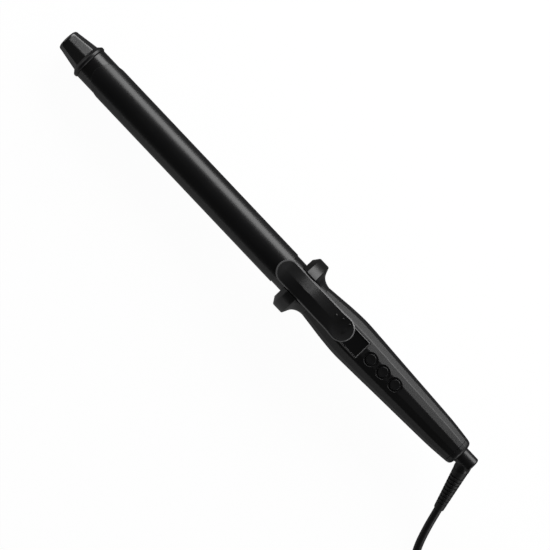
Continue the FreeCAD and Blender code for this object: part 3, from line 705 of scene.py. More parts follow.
@dataclass
class HotEnd:
    """Cool tip, its collar, the barrel and the sprung clip's plate."""

    shop: Shop
    barrel_radius: float = 12.6
    barrel_wall: float = 0.9
    barrel_span: Pair = (-11.9, 203.0)
    barrel_chamfer: float = 0.1
    clip_inner: float = 12.78
    clip_outer: float = 13.15
    clip_front: float = 196.0
    clip_back: float = 9.2
    tongue_back: float = 3.0
    tongue_half: float = 7.4
    tongue_blend: float = 1.6
    clip_low: float = 0.5
    clip_edge: float = 0.09
    clip_rows: int = 21
    collar: tuple[Pair, ...] = (
        (203.08, 6.1), (203.08, 12.5), (203.35, 12.95), (203.75, 13.36), (204.05, 13.48),
        (204.5, 13.5), (205.2, 13.5), (205.6, 13.44), (205.95, 13.15), (206.6, 12.4),
        (207.2, 11.75), (207.68, 11.25), (207.68, 6.1))
    tip_facets: int = 8
    tip_facet_steps: int = 12
    tip_softness: float = 0.988
    tip: tuple[Point, ...] = (
        (207.7, 6.0, 0), (207.7, 10.9, 1), (207.95, 11.06, 1), (212, 10.4, 1), (216, 9.72, 1),
        (220, 9.04, 1), (223.2, 8.5, 1), (224.0, 8.38, 0.95), (224.6, 8.3, 0.55),
        (225.1, 8.17, 0.15), (225.6, 7.95, 0), (226.05, 7.55, 0), (226.35, 6.95, 0),
        (226.5, 6.1, 0), (226.5, 3.0, 0))

    def build(self) -> None:
        """Build and dress the four pieces."""
        self.build_barrel()
        self.build_clip()
        self.build_collar()
        self.build_tip()

    def build_barrel(self) -> None:
        """Thin round tube."""
        back, front = self.barrel_span
        outer, inner = self.barrel_radius, self.barrel_radius - self.barrel_wall
        soft = self.barrel_chamfer
        stations = spread(back + 0.3, front - 0.3, 12)
        outline = [(back, inner), (back, outer - soft), (back + soft, outer),
                   *[(x, outer) for x in stations],
                   (front - soft, outer), (front, outer - soft), (front, inner)]
        item = self.shop.build("barrel", Shape().lathe(outline, 128))
        self.shop.dress(item, "barrel_coating", "handle", ["barrel_tube"], weighted=False)

    def build_clip(self) -> None:
        """Half-round sheet with an arched front edge and a tongue under the lever."""
        reach = math.acos(self.clip_low / self.clip_outer)
        angles = [math.copysign(reach * (1 - (1 - abs(s)) ** 1.25), s) for s in spread(-1, 1, 73)]
        last = self.clip_rows - 1

        def row(index: int, radius: float, trim: float) -> list[Point]:
            """One row of the sheet at a radius, drawn in from its edges by a trim.

            Args:
                index: number of the row, from the front.
                radius: the face's radius.
                trim: how far the row stays inside the outline.

            Returns:
                The row's points.
            """
            line = []
            for angle in angles:
                angle = max(-reach + trim / radius, min(reach - trim / radius, angle))
                across = abs(self.clip_outer * math.sin(angle))
                beside = ease(across, self.tongue_half - self.tongue_blend, self.tongue_half)
                start = self.clip_back - (self.clip_back - self.tongue_back) * (1 - beside) + trim
                end = self.clip_front - self.clip_outer * (1 - math.cos(angle)) - trim
                along = end - (end - start) * (index / last) ** 2.2
                line.append((along, radius * math.sin(angle), radius * math.cos(angle)))
            return line

        shape, soft = Shape(), self.clip_edge
        outer = [shape.ring(row(i, self.clip_outer, soft)) for i in range(last + 1)]
        inner = [shape.ring(row(i, self.clip_inner, soft)) for i in range(last + 1)]
        shape.chain(outer, closed=False)
        shape.chain(inner, closed=False)
        for index in (0, last):
            edge = [outer[index], shape.ring(row(index, self.clip_outer - soft, 0)),
                    shape.ring(row(index, self.clip_inner + soft, 0)), inner[index]]
            shape.chain(edge, closed=False)
            shape.faces += [tuple(line[side] for line in edge) for side in (0, -1)]
        for side in (0, -1):
            shape.chain([[line[side] for line in rows] for rows in (outer, inner)], closed=False)
        item = self.shop.build("clip", shape)
        self.shop.dress(item, "clip_coating", "clip", ["clip_plate"], sharp=50)

    def build_collar(self) -> None:
        """Flared lip behind the tip."""
        item = self.shop.build("tip_collar_ring", Shape().lathe(self.collar, 128))
        self.shop.dress(item, "collar_plastic", "handle", ["tip_collar"], weighted=False)

    def build_tip(self) -> None:
        """Eight-sided tapered cap whose facets end near its rounded nose."""
        half = math.pi / self.tip_facets
        count = self.tip_facets * self.tip_facet_steps
        angles = [2 * math.pi * i / count for i in range(count)]

        def ring(x: float, radius: float, facet: float) -> list[Point]:
            """Section between a circle (0) and an octagon (1) with softened corners.

            Args:
                x: station.
                radius: the corners' radius.
                facet: share of the octagon.

            Returns:
                The ring's points.
            """
            points = []
            for a in angles:
                flat = math.cos(half) / math.cos(a % (2 * half) - half)
                r = radius * (1 + (min(flat, self.tip_softness) - 1) * facet)
                points.append((x, r * math.sin(a), r * math.cos(a)))
            return points

        item = self.shop.build("tip_cap", Shape().loft([ring(*station) for station in self.tip]))
        self.shop.dress(item, "tip_plastic", "handle", ["cool_tip"], sharp=28)


# ---------------------------------------------------------------- lever and guard

@dataclass
class ThumbLever:
    """Moulded lever with an arched front, a ridged roof and a dished round thumb pad."""

    shop: Shop
    half: float = 8.7
    front: float = 14.07
    pad_x: float = -46.8
    pad_radius: float = 9.15
    skin: float = 1.5
    roof_skin: float = 0.9
    thin: float = 0.12
    hollow_from: Pair = (-40.0, -36.5)
    waist: Pair = (39.0, 46.8)
    rim_share: float = 0.885
    dish_depth: float = 1.05
    dish_rim: float = 1.25
    dish_stretch: float = 0.9
    rim_drop: float = 1.1
    # Band of the painted rim highlight: how far in from the outline and how far below the roof's
    # edge it reaches.
    rim_highlight_width: Pair = (0.35, 1.2)
    rim_highlight_depth: Pair = (-0.9, -0.1)
    dots: tuple[Pair, ...] = ((-37.8, -3.7), (-43.1, -5.3), (-48.9, -5.6))
    dot_outline: tuple[Pair, ...] = (
        (0.7, -0.35), (0.7, 0.02), (0.66, 0.16), (0.5, 0.32), (0.28, 0.4), (0.08, 0.43))
    shares: tuple[float, ...] = (
        1, 0.98, 0.96, 0.935, 0.91, 0.885, 0.86, 0.8, 0.7, 0.6, 0.48, 0.36, 0.24, 0.12, 0.04, 0)
    top: Line = field(default_factory=lambda: Line([
        (-57, 27.3), (-54, 26.6), (-49, 25.2), (-43, 24.6), (-36, 24.9), (-18, 24.2), (-6, 23.1),
        (0, 21.8), (6, 19.4), (11, 16.8), (15.07, 14.6)]))
    low: Line = field(default_factory=lambda: Line([
        (-57, 25.1), (-40, 22.4), (-22, 20.2), (-12, 14.4), (0.9, 13.45), (1.5, 9.9),
        (15.07, 9.8)]))
    falls: Line = field(default_factory=lambda: Line([
        (-42, 0.05), (-36, 0.5), (-30, 1.1), (-24, 1.75), (-20, 2.2), (-14, 3.3), (-8.4, 3.2),
        (-5, 2.6), (-1.6, 1.7), (0, 1.5), (5, 0.8), (13, 0.3)]))

    def half_width(self, x: float) -> float:
        """Half width of the straight part, which widens towards the pad."""
        return self.half + (self.pad_radius - self.half) * ease(-x, *self.waist)

    def spine(self, x: float) -> float:
        """Nearest station on the middle line between the centres of the two round ends."""
        return min(max(x, self.pad_x), self.front - self.half)

    def plan(self, inset: float) -> list[Pair]:
        """Outline seen from above, drawn in by an inset, from the front and round over +Y.

        Args:
            inset: distance inside the outline.

        Returns:
            The outline.
        """
        front_x, quarter = self.front - self.half, spread(0, math.pi / 2, 20)
        front_r, pad_r = self.half - inset, self.pad_radius - inset
        points = [(front_x + front_r * math.cos(a), front_r * math.sin(a)) for a in quarter]
        points += [(x, self.half_width(x) - inset) for x in spread(front_x, self.pad_x, 44)[1:-1]]
        points += [(self.pad_x - pad_r * math.sin(a), pad_r * math.cos(a)) for a in quarter]
        return points + [(x, -y) for x, y in reversed(points[1:-1])]

    def shrunk(self, outline: Sequence[Pair], share: float) -> list[Pair]:
        """Outline drawn towards the middle line, where it arrives at a share of 0."""
        return [(self.spine(x) + (x - self.spine(x)) * share, y * share) for x, y in outline]

    def roof(self, x: float, y: float, share: float) -> float:
        """Height of the top: ridge, sloping sides, dished pad and rounded rim.

        Args:
            x: position along the iron.
            y: position across it.
            share: 1 at the outline and 0 on the ridge.

        Returns:
            Height above the axis.
        """
        height = self.top.at(x) - self.falls.at(x) * abs(y) / self.half
        along = (x - self.pad_x) * self.dish_stretch
        away = math.hypot(along, y) / (self.pad_radius - self.dish_rim)
        height -= self.dish_depth * (1 - min(1.0, away) ** 2)
        rim = max(0.0, (share - self.rim_share) / (1 - self.rim_share))
        return height - self.rim_drop * rim ** 1.5

    def ceiling(self, x: float, y: float, rim: float) -> float:
        """Height of the hollow's ceiling over a height of the lower rim; the pad stays solid."""
        room = max(self.thin, self.roof(x, y, 0.8) - self.roof_skin - rim)
        return rim + self.thin + (room - self.thin) * ease(x, *self.hollow_from)

    def shape(self) -> Shape:
        """Closed shell, hollow underneath.

        Returns:
            The shell.
        """
        shape = Shape()
        outline, inside = self.plan(0), self.plan(self.skin)
        roof = [shape.ring([(x, y, self.roof(x, y, share)) for x, y in self.shrunk(outline, share)])
                for share in self.shares]
        walls = [shape.ring([(x, y, self.roof(x, y, 1) * (1 - t) + self.low.at(x) * t)
                             for x, y in outline]) for t in (0.12, 0.4, 0.7, 0.95)]
        rim = shape.ring([(x * 0.999 - 0.02, y * 0.985, self.low.at(x)) for x, y in outline])
        mouth = shape.ring([(x, y, self.low.at(x)) for x, y in inside])
        hollow = [shape.ring([(px, py, self.ceiling(px, py, self.low.at(x)))
                              for (x, _), (px, py) in zip(inside, self.shrunk(inside, share))])
                  for share in (1.0, 0.75, 0.4)]
        hollow += [shape.ring([(px, py, self.ceiling(px, 0, self.low.at(px)))
                               for px, py in self.shrunk(inside, share)]) for share in (0.1, 0.0)]
        shape.chain(roof)
        shape.chain([roof[0], *walls, rim, mouth, *hollow])
        return shape

    def paint_rim_highlight(self, item: bpy.types.Object) -> None:
        """Mark the vertices of the lever's rim for a painted highlight, a lighter colour that
        stands in for light caught along the edge.

        Args:
            item: the lever.
        """
        marks = item.data.attributes.new("rim_highlight", "FLOAT", "POINT")
        for vertex, mark in zip(item.data.vertices, marks.data):
            x, y, z = self.shop.rest.local(vertex.co / MM)
            inset = self.half_width(x) - math.hypot(x - self.spine(x), y)
            depth = z - self.roof(x, y, 1)
            mark.value = (1 - ease(inset, *self.rim_highlight_width)) * ease(depth, *self.rim_highlight_depth)

    def build(self) -> None:
        """Build the lever and its three raised dots."""
        item = self.shop.build("lever", self.shape())
        self.paint_rim_highlight(item)
        self.shop.dress(item, "lever_plastic", "clip", ["thumb_lever"], sharp=40)
        for number, (x, y) in enumerate(self.dots):
            base = self.roof(x, y, 0.5)
            dot = self.shop.peg(x, y, [(r, base + z) for r, z in self.dot_outline], 24)
            dot.name = "lever_dot_%d" % number
            self.shop.dress(dot, "lever_plastic", "clip", sharp=60, weighted=False)


@dataclass
class HeatGuard:
    """Round guard with a slot for the lever and a flat foot to lie on."""

    shop: Shop
    slot_half: float = 9.3
    slot_floor: float = 12.0
    edge_round: float = 0.22
    outline: tuple[Pair, ...] = (
        (0, 12.63), (0, 18.0), (-0.12, 18.35), (-0.45, 18.72), (-2.85, 22.2), (-3.3, 22.55),
        (-3.9, 22.65), (-7.2, 22.65), (-10.7, 22.65), (-11.35, 22.52), (-11.75, 22.1),
        (-12.4, 20.6), (-13.2, 18.6), (-14.0, 17.05), (-14.9, 15.9), (-16.2, 14.85),
        (-18.2, 13.85), (-20.2, 13.3), (-22.1, 13.06), (-22.18, 12.98), (-22.18, 11.0), (-30, 11.0),
        (-30, 9.7), (-16.3, 9.7), (-16.3, 5.5), (-11.95, 5.5), (-11.95, 12.63))

    def build(self) -> None:
        """Turn the guard, then cut the slot and the foot."""
        item = self.shop.build("guard", Shape().lathe(self.outline, 160))
        slot = self.shop.slab((-18, -self.slot_half, self.slot_floor), (1, self.slot_half, 30))
        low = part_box("heat_guard")[0]
        foot = self.shop.build("foot", Shape().loft(
            [[(low.x / MM + x, y, z) for x, y in box(40, 40)] for z in (-30, 0.0)]), on_table=True)
        self.shop.carve(item, [slot, foot])
        self.shop.apply(item, "BEVEL", width=self.edge_round * MM, segments=2, limit_method="ANGLE",
                        angle_limit=math.radians(50), use_clamp_overlap=False)
        self.shop.dress(item, "guard_plastic", "handle", ["heat_guard"], sharp=35)


# ---------------------------------------------------------------- handle

@dataclass
class Handle:
    """Sixteen-sided handle in two shells, end cap, display and buttons."""

    shop: Shop
    facets: int = 16
    wall: float = 2.0
    stations: tuple[Pair, ...] = (
        (-22.2, 13.1), (-29.7, 13.84), (-43.5, 15.28), (-57.3, 16.04), (-71.0, 15.56),
        (-98.6, 14.32), (-126.1, 13.15), (-146.8, 12.15), (-161.9, 10.75))
    edge: float = 0.1
    parting: float = 0.06
    spigot_flat: float = 11.05
    spigot_end: float = -30.1
    window: Pair = (-67.6, -48.0)
    window_half: float = 6.0
    window_rings: tuple[Point, ...] = (
        (1.72, 14.2, 0.5), (1.72, 15.3, 0.5), (1.8, 15.38, 0.5), (1.95, 15.4, 0.5))
    bezel_rim: float = 1.7
    bezel_end: float = 1.05
    bezel_gap: float = 0.12
    bezel_rings: tuple[Point, ...] = (
        (0, 13.2, 1.0), (0, 15.4, 1.0), (0.12, 15.63, 1.0), (0.72, 16.23, 1.0), (0.9, 16.35, 1.0),
        (1.0, 16.35, 0.9), (1.1, 16.25, 0.8), (1.12, 15.45, 0.8), (1.7, 15.37, 0.5),
        (1.7, 13.2, 0.5))
    button_radius: float = 3.7
    button_gap: float = 0.15
    button_rim: tuple[Pair, ...] = (
        (0, -3.15), (0, -0.42), (-0.06, -0.2), (-0.2, -0.06), (-0.42, 0), (-0.9, -0.03))
    flange_radius: float = 4.55
    stem_radius: float = 1.2
    stem_end: float = 9.46
    well_radius: float = 5.4
    well_depth: float = 1.1
    well_outline: tuple[Pair, ...] = (
        (-1.6, 0), (-0.7, 0.1), (-0.25, 0.36), (-0.04, 0.75), (0, 1.2), (0, 5.1))
    buttons: tuple[tuple[str, float], ...] = (
        ("power_button", -76.4), ("heat_up_button", -88.35), ("heat_down_button", -100.3))
    screw_radius: float = 2.0
    screws: tuple[Pair, ...] = ((-37.0, 8.0), (-37.0, -8.0), (-124.0, 6.3), (-124.0, -6.3))
    cap: tuple[Point, ...] = (
        (-162.0, 3.6, 0.1), (-162.0, 10.5, 0.1), (-162.15, 10.72, 0.1), (-163.3, 10.55, 0.12),
        (-164.6, 10.28, 0.16), (-165.4, 9.95, 0.22), (-166.05, 9.45, 0.3), (-166.5, 8.85, 0.4),
        (-166.7, 8.2, 0.45), (-166.7, 3.6, 0.45))

    def __post_init__(self) -> None:
        """Make the smooth line of the flats."""
        self.flats = Line(self.stations)

    def section(self, x: float, flat: float, soft: float = 0.1) -> list[Point]:
        """Sixteen-sided ring with softened corners.

        Args:
            x: station.
            flat: distance from the axis to each flat.
            soft: share of a side taken by each corner's rounding.

        Returns:
            The ring's points.
        """
        side = 2 * math.pi / self.facets
        circum = flat / math.cos(side / 2)
        turns = [(i + 0.5) * side for i in range(self.facets)]
        corners = [(circum * math.sin(a), circum * math.cos(a)) for a in turns]
        return [(x, y, z) for y, z in rounded(corners, soft * 2 * flat * math.tan(side / 2))]

    def build(self) -> None:
        """Build every part of the handle."""
        self.build_shells()
        self.build_cap()
        self.build_display()
        for node, x in self.buttons:
            self.build_button(node, x)

    def build_shells(self) -> None:
        """Upper and lower shell with wells, openings and a thin parting line."""
        xs = spread(self.stations[0][0], self.stations[-1][0], 48)
        soft, front, back = self.edge, self.flats.at(xs[0]), self.flats.at(xs[-1])
        sizes = [(xs[0], front - soft), (xs[0] - soft, front),
                 *[(x, self.flats.at(x)) for x in xs[1:-1]],
                 (xs[-1] + soft, back), (xs[-1], back - soft),
                 *[(x, self.inner_flat(x)) for x in reversed(xs)]]
        rings = [self.section(x, flat) for x, flat in sizes]
        halves = (("handle_upper", (self.parting, 40), self.upper_tools),
                  ("handle_lower", (-40, -self.parting), self.lower_tools))
        for node, (low, high), tools in halves:
            shell = self.shop.build(node + "_shell", Shape().loft(rings, loop=True))
            self.shop.carve(shell, [self.shop.slab((-180, -40, low), (0, 40, high))], "INTERSECT")
            self.shop.carve(shell, tools())
            self.shop.dress(shell, "handle_plastic", "handle", [node], sharp=24)

    def inner_flat(self, x: float) -> float:
        """Distance from the axis to the inside of each flat."""
        return self.spigot_flat if x > self.spigot_end else self.flats.at(x) - self.wall

    def upper_tools(self) -> list[bpy.types.Object]:
        """Button bores, dished wells and the display's opening.

        Returns:
            The cutters.
        """
        tools = []
        for _, x in self.buttons:
            flat = self.flats.at(x)
            floor = flat - self.well_depth
            outline = [(self.well_radius + r, floor + z) for r, z in self.well_outline]
            outline.insert(0, (0.05, floor))
            tools.append(self.shop.peg(x, 0, outline, 96))
            bore = self.button_radius + self.button_gap
            tools.append(self.shop.peg(x, 0, [(bore, 6), (bore, flat + 3)], 96))
        half = self.window_half + self.bezel_rim + self.bezel_gap
        end = self.bezel_end + self.bezel_gap
        low, high = (self.window[0] - end, -half, 8), (self.window[1] + end, half, 30)
        tools.append(self.shop.slab(low, high, 1.1))
        return tools

    def lower_tools(self) -> list[bpy.types.Object]:
        """Screw wells from below."""
        return [self.shop.peg(x, y, [(self.screw_radius, -25), (self.screw_radius, -6)], 48)
                for x, y in self.screws]

    def build_cap(self) -> None:
        """End cap with a rounded rim and a bore for the swivel's shaft."""
        rings = [self.section(*station) for station in self.cap]
        item = self.shop.build("butt_cap", Shape().loft(rings, loop=True))
        self.shop.dress(item, "handle_plastic", "handle", ["end_cap"], sharp=24)

    def build_display(self) -> None:
        """Raised bezel and a plain glossy window inside it."""
        middle = sum(self.window) / 2
        length = (self.window[1] - self.window[0]) / 2 + self.bezel_end
        half = self.window_half + self.bezel_rim

        def frame(inset: float, z: float, radius: float) -> list[Point]:
            """Rounded rectangle drawn in from the bezel's outside."""
            corners = box(length - inset, half - inset)
            return [(middle + x, y, z) for x, y in rounded(corners, radius, 7)]

        rings = [frame(*ring) for ring in self.bezel_rings]
        bezel = self.shop.build("bezel", Shape().loft(rings, loop=True))
        self.shop.dress(bezel, "bezel_plastic", "handle", ["display_bezel"], sharp=40)
        pane = self.shop.build("window", Shape().loft([frame(*ring) for ring in self.window_rings]))
        self.shop.dress(pane, "window_plastic", "handle", ["display_window"], sharp=40)

    def build_button(self, node: str, x: float) -> None:
        """Round push button with a slightly dished cap, a flange and a stem.

        Args:
            node: the button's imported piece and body.
            x: its station.
        """
        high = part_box(node)[1]
        packed = self.shop.rest.local(Vector((high.x, 0, high.z)) / MM).z
        top = min(self.flats.at(x) - 0.1, packed)
        stem, foot = self.stem_radius, self.stem_end
        outline = [(0.05, foot), (stem - 0.05, foot), (stem, foot + 0.06), (stem, top - 3.9),
                   (self.flange_radius, top - 3.85), (self.flange_radius, top - 3.2),
                   *[(self.button_radius + r, top + z) for r, z in self.button_rim],
                   (1.5, top - 0.16), (0.05, top - 0.2)]
        button = self.shop.peg(x, 0, outline, 96)
        button.name = node + "_cap"
        self.shop.dress(button, "button_plastic", node, [node], sharp=40)


# ---------------------------------------------------------------- swivel, cord, tie and plug

@dataclass
class CordSet:
    """Swivel block, strain relief, the cord in one line, its tie and its plug."""

    shop: Shop
    swivel_radius: float = 6.3
    swivel_span: Pair = (-167.0, -178.8)
    swivel_rim: tuple[Pair, ...] = (
        (1.4, 0), (0.85, 0.12), (0.4, 0.42), (0.1, 0.88), (0, 1.4))
    shaft_radius: float = 3.5
    boss_radius: float = 5.8
    boss_reach: float = 7.8
    relief_reach: float = 42.0
    relief_root: float = 5.6
    relief_end: float = 3.7
    rib_count: int = 9
    rib_pitch: float = 2.9
    first_rib: float = 5.0
    groove_width: float = 0.85
    groove_depth: float = 0.85
    groove_fade: float = 0.03
    direction: Vector = field(default_factory=lambda: Vector((-0.325, 0.877, -0.354)).normalized())
    diameter: float = 6.0
    coil_centre: Pair = (-291.6, 74.3)
    coil_radius: float = 35.6
    coil_width: float = 31.0
    coil_height: float = 12.2
    coil_base: float = 0.9
    turn_gap: float = 0.25
    turn_points: int = 20
    enter_angle: float = 46.5
    leave_angle: float = 136.5
    tie_angle: float = -60.0
    tie_rings: tuple[Pair, ...] = (
        (0.06, -5.9), (0.6, -5.95), (0.7, -5.75), (0.7, 0), (0.7, 5.75), (0.6, 5.95), (0.06, 5.9))
    lead: tuple[Point, ...] = (
        (-215.3, 51.8, 7.6), (-221.5, 67.2, 4.4), (-231.6, 82.0, 3.3), (-244.6, 96.0, 3.1))
    tail: tuple[Point, ...] = (
        (-336.6, 97.2, 9.4), (-345.1, 84.7, 8.3), (-350.6, 70.0, 7.6), (-352.4, 54.8, 7.5))
    length: float = 2.02
    plug_height: float = 7.5
    plug_stations: tuple[float, ...] = (
        0, 0.25, 0.8, 2, 4, 6, 8, 9, 9.4, 9.6, 10.4, 10.6, 11, 12.4, 12.8, 13, 13.8, 14, 14.4, 15.8,
        16.2, 16.4, 17.2, 17.4, 17.8, 19, 21, 23, 25, 27, 29, 31, 32.6, 33.4, 33.85, 34)
    plug_ribs: tuple[float, ...] = (9.4, 12.8, 16.2)
    rib_width: float = 1.2
    rib_depth: float = 0.38
    plug_half_width: Line = field(default_factory=lambda: Line([
        (0, 4.6), (3, 6.0), (8, 8.6), (14, 9.7), (20, 9.5), (26, 10.6), (30, 12.1), (34, 12.45)]))
    plug_half_height: Line = field(default_factory=lambda: Line([
        (0, 4.4), (3, 5.2), (8, 6.1), (14, 6.2), (20, 5.9), (26, 6.4), (30, 7.3), (34, 7.45)]))
    blade_offset: float = 6.35
    blade_hole: float = 47.0
    blade: tuple[Point, ...] = (
        (33.9, 0.75, 3.15), (49.2, 0.75, 3.15), (50.4, 0.6, 2.9), (51.2, 0.3, 2.3))

    def __post_init__(self) -> None:
        """Work out the heights of the coil's two layers and its outermost and innermost turn."""
        reach = (self.coil_width - self.diameter) / 2
        self.layers = (self.coil_base + self.diameter / 2,
                       self.coil_base + self.coil_height - self.diameter / 2)
        self.outer_turn, self.inner_turn = self.coil_radius + reach, self.coil_radius - reach

    def exit_point(self) -> Vector:
        """Where the cord's line starts on the swivel's axis, in table millimetres."""
        middle = (self.swivel_span[0] + self.swivel_span[1]) / 2
        return self.shop.rest.place(middle, 0, 0) / MM

    def build(self) -> None:
        """Build the cord and everything on it."""
        self.build_block()
        relief = self.build_relief()
        tie = self.build_tie()
        plug = self.build_plug()
        blades = self.build_blades()
        self.build_cord()

    def along(self, reach: float) -> Vector:
        """Point on the relief's axis, in table millimetres."""
        return self.exit_point() + self.direction * reach

    def aim(self) -> Matrix:
        """Matrix in table millimetres that turns X into the relief's direction."""
        turn = self.direction.to_track_quat("X", "Z").to_matrix().to_4x4()
        return Matrix.Translation(self.exit_point()) @ turn

    def build_block(self) -> None:
        """Round swivel block with a side boss for the strain relief."""
        front, back = self.swivel_span
        r = self.swivel_radius
        outline = [(front, 0.05), (front, r - 0.25), (front - 0.08, r - 0.07), (front - 0.28, r),
                   *[(back + x, r - drop) for x, drop in self.swivel_rim], (back, 0.05)]
        block = self.shop.build("swivel", Shape().lathe(outline, 96, loop=False))
        profile = [(0.5, 0.05), (0.5, self.boss_radius), (self.boss_reach - 0.25, self.boss_radius),
                   (self.boss_reach, self.boss_radius - 0.25), (self.boss_reach, 0.05)]
        boss = Shape().lathe(profile, 72, loop=False).moved(self.aim())
        root, end = front - 0.2, self.shaft_end()
        shaft = Shape().lathe([(root, 0.05), (root, self.shaft_radius), (end, self.shaft_radius),
                               (end, 0.05)], 48, loop=False)
        self.shop.carve(block, [self.shop.build("boss", boss, on_table=True),
                                self.shop.build("shaft", shaft)], "UNION")
        self.shop.dress(block, "swivel_plastic", "cord_swivel_block", ["swivel_block"], sharp=35)

    def shaft_end(self) -> float:
        """Front end of the swivel's shaft in the iron's frame."""
        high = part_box("swivel_block")[1]
        return self.shop.rest.local(Vector((high.x, 0, high.z)) / MM).x - 0.15

    def build_relief(self) -> bpy.types.Object:
        """Tapered relief with open ribs along it.

        Returns:
            The relief.
        """
        start, end = self.boss_reach, self.relief_reach
        taper = Line([(start, self.relief_root), (end, self.relief_end)])
        outline = [(start, 0.05), (start, self.relief_root - 0.2), (start + 0.2, self.relief_root)]
        for number in range(self.rib_count):
            x = start + self.first_rib + number * self.rib_pitch
            after = x + self.groove_width
            r, r_after = taper.at(x), taper.at(after)
            deep = r - self.groove_depth + number * self.groove_fade
            outline += [(x, r - 0.02), (x + 0.1, r - 0.18), (x + 0.18, deep), (after, deep),
                        (after + 0.08, r_after - 0.18), (after + 0.2, r_after)]
        outline += [(end - 1.0, taper.at(end - 1.0)), (end - 0.3, self.relief_end),
                    (end, self.relief_end - 0.3), (end, 0.05)]
        shape = Shape().lathe(outline, 64, loop=False).moved(self.aim())
        relief = self.shop.build("relief", shape, on_table=True)
        return self.shop.dress(relief, "relief_rubber", "cord_swivel_block", ["strain_relief"])

    def coil_points(self) -> list[Point]:
        """Turns of the coil: inwards on the table, up at the eye, outwards on top.

        Returns:
            The coil's points.
        """
        gap = self.diameter + self.turn_gap
        outer, inner = self.outer_turn - 0.02, self.inner_turn + 0.02
        low, high = self.layers
        turns = (outer - inner) / gap
        climb = ((self.leave_angle - self.enter_angle) / 360 - 2 * turns) % 1
        grow = 1 / math.cos(math.pi / self.turn_points) ** 0.5
        points = []
        for i in range(1, round((2 * turns + climb) * self.turn_points)):
            turn = i / self.turn_points
            outwards = max(0.0, turn - turns - climb)
            radius = outer - gap * turn if turn < turns else inner + gap * outwards
            angle = math.radians(self.enter_angle) + 2 * math.pi * turn
            points.append((self.coil_centre[0] + radius * grow * math.cos(angle),
                           self.coil_centre[1] + radius * grow * math.sin(angle),
                           low + (high - low) * ease(turn, turns, turns + climb)))
        return points

    def build_cord(self) -> None:
        """One smooth line from the boss to the plug.
        """
        def on_coil(angle: float, z: float) -> Point:
            """Point of the outermost turn.

            Args:
                angle: degrees round the coil.
                z: height.

            Returns:
                The point.
            """
            a = math.radians(angle)
            return (self.coil_centre[0] + self.outer_turn * math.cos(a),
                    self.coil_centre[1] + self.outer_turn * math.sin(a), z)

        route = [tuple(self.along(r)) for r in (self.boss_reach, 24.0, self.relief_reach)]
        route += [*self.lead, on_coil(self.enter_angle, self.layers[0]), *self.coil_points(),
                  on_coil(self.leave_angle, self.layers[1]), *self.tail]
        data = bpy.data.curves.new("cord", "CURVE")
        data.dimensions = "3D"
        spline = data.splines.new("NURBS")
        spline.points.add(len(route) - 1)
        for point, place in zip(spline.points, route):
            point.co = (*(Vector(place) * MM), 1)
        spline.order_u = 3
        spline.use_endpoint_u = True
        spline.resolution_u = 6
        data.bevel_depth = self.diameter / 2 * MM
        data.bevel_resolution = 6
        data.use_fill_caps = True
        cord = bpy.data.objects.new("cord", data)
        bpy.context.scene.collection.objects.link(cord)
        data.materials.append(self.shop.finishes.material("cord_jacket"))
        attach(cord, "cord_swivel_block")
        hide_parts("cord_lead", "cord_coil", "cord_tail")
        log.info("cord: %d control points, %.2f m", len(route), self.length)

    def build_tie(self) -> bpy.types.Object:
        """Strap round the coil's section, closed all round.

        Returns:
            The strap.
        """
        half_w, half_h = self.coil_width / 2, self.coil_height / 2
        middle = self.coil_base + half_h
        turn = Matrix.Rotation(math.radians(self.tie_angle), 4, "Z")
        place = Matrix.Translation((*self.coil_centre, 0)) @ turn

        def loop(grow: float, y: float) -> list[Point]:
            """Rounded loop round the turns at one edge of the strap."""
            corners = box(half_w + grow, half_h + grow)
            return [(self.coil_radius + x, y, middle + z) for x, z in rounded(corners, 4.2, 8)]

        shape = Shape().loft([loop(*ring) for ring in self.tie_rings], loop=True).moved(place)
        tie = self.shop.build("cord_strap", shape, on_table=True)
        return self.shop.dress(tie, "tie_strap", "cord_swivel_block", ["cord_tie"], sharp=40)

    def plug_frame(self) -> Matrix:
        """Matrix in table millimetres of the plug, X along its blades.

        Returns:
            The matrix.
        """
        end, before = Vector(self.tail[-1]), Vector(self.tail[-2])
        heading = math.atan2(end.y - before.y, end.x - before.x)
        place = Matrix.Translation((end.x, end.y, self.plug_height))
        return place @ Matrix.Rotation(heading, 4, "Z")

    def build_plug(self) -> bpy.types.Object:
        """Moulded plug with a waisted grip, ribs and a flat face.

        Returns:
            The plug.
        """
        rings = []
        for x in self.plug_stations:
            trim = 0.9 * (1 - ease(x, 0, 0.8)) + 0.55 * ease(x, 33.2, 34)
            if any(start < x < start + self.rib_width for start in self.plug_ribs):
                trim += self.rib_depth
            corners = box(self.plug_half_width.at(x) - trim, self.plug_half_height.at(x) - trim)
            rings.append([(x, y, z) for y, z in rounded(corners, 3.4, 8)])
        plug = self.shop.build("plug", Shape().loft(rings).moved(self.plug_frame()), on_table=True)
        return self.shop.dress(plug, "plug_pvc", "cord_swivel_block", ["plug_body"], sharp=32)

    def build_blades(self) -> list[bpy.types.Object]:
        """Two flat blades with chamfered ends and round holes.

        Returns:
            The two blades.
        """
        frame, made = self.plug_frame(), []
        for number, middle in enumerate((-self.blade_offset, self.blade_offset)):
            body = Shape().loft([[(x, middle + y, z) for y, z in rounded(box(thick, tall), 0.2, 3)]
                                 for x, thick, tall in self.blade])
            hole = Shape().loft([[(self.blade_hole + x, y, z) for x, z in circle(1.6, 32)]
                                 for y in (middle - 3, middle + 3)])
            blade = self.shop.build("plug_blade_%d" % number, body.moved(frame), on_table=True)
            self.shop.carve(blade, [self.shop.build("hole", hole.moved(frame), on_table=True)])
            made.append(self.shop.dress(blade, "blade_metal", "cord_swivel_block",
                                        ["plug_blades"] if number == 0 else (), sharp=35))
        return made


# ---------------------------------------------------------------- CAD pieces that stay

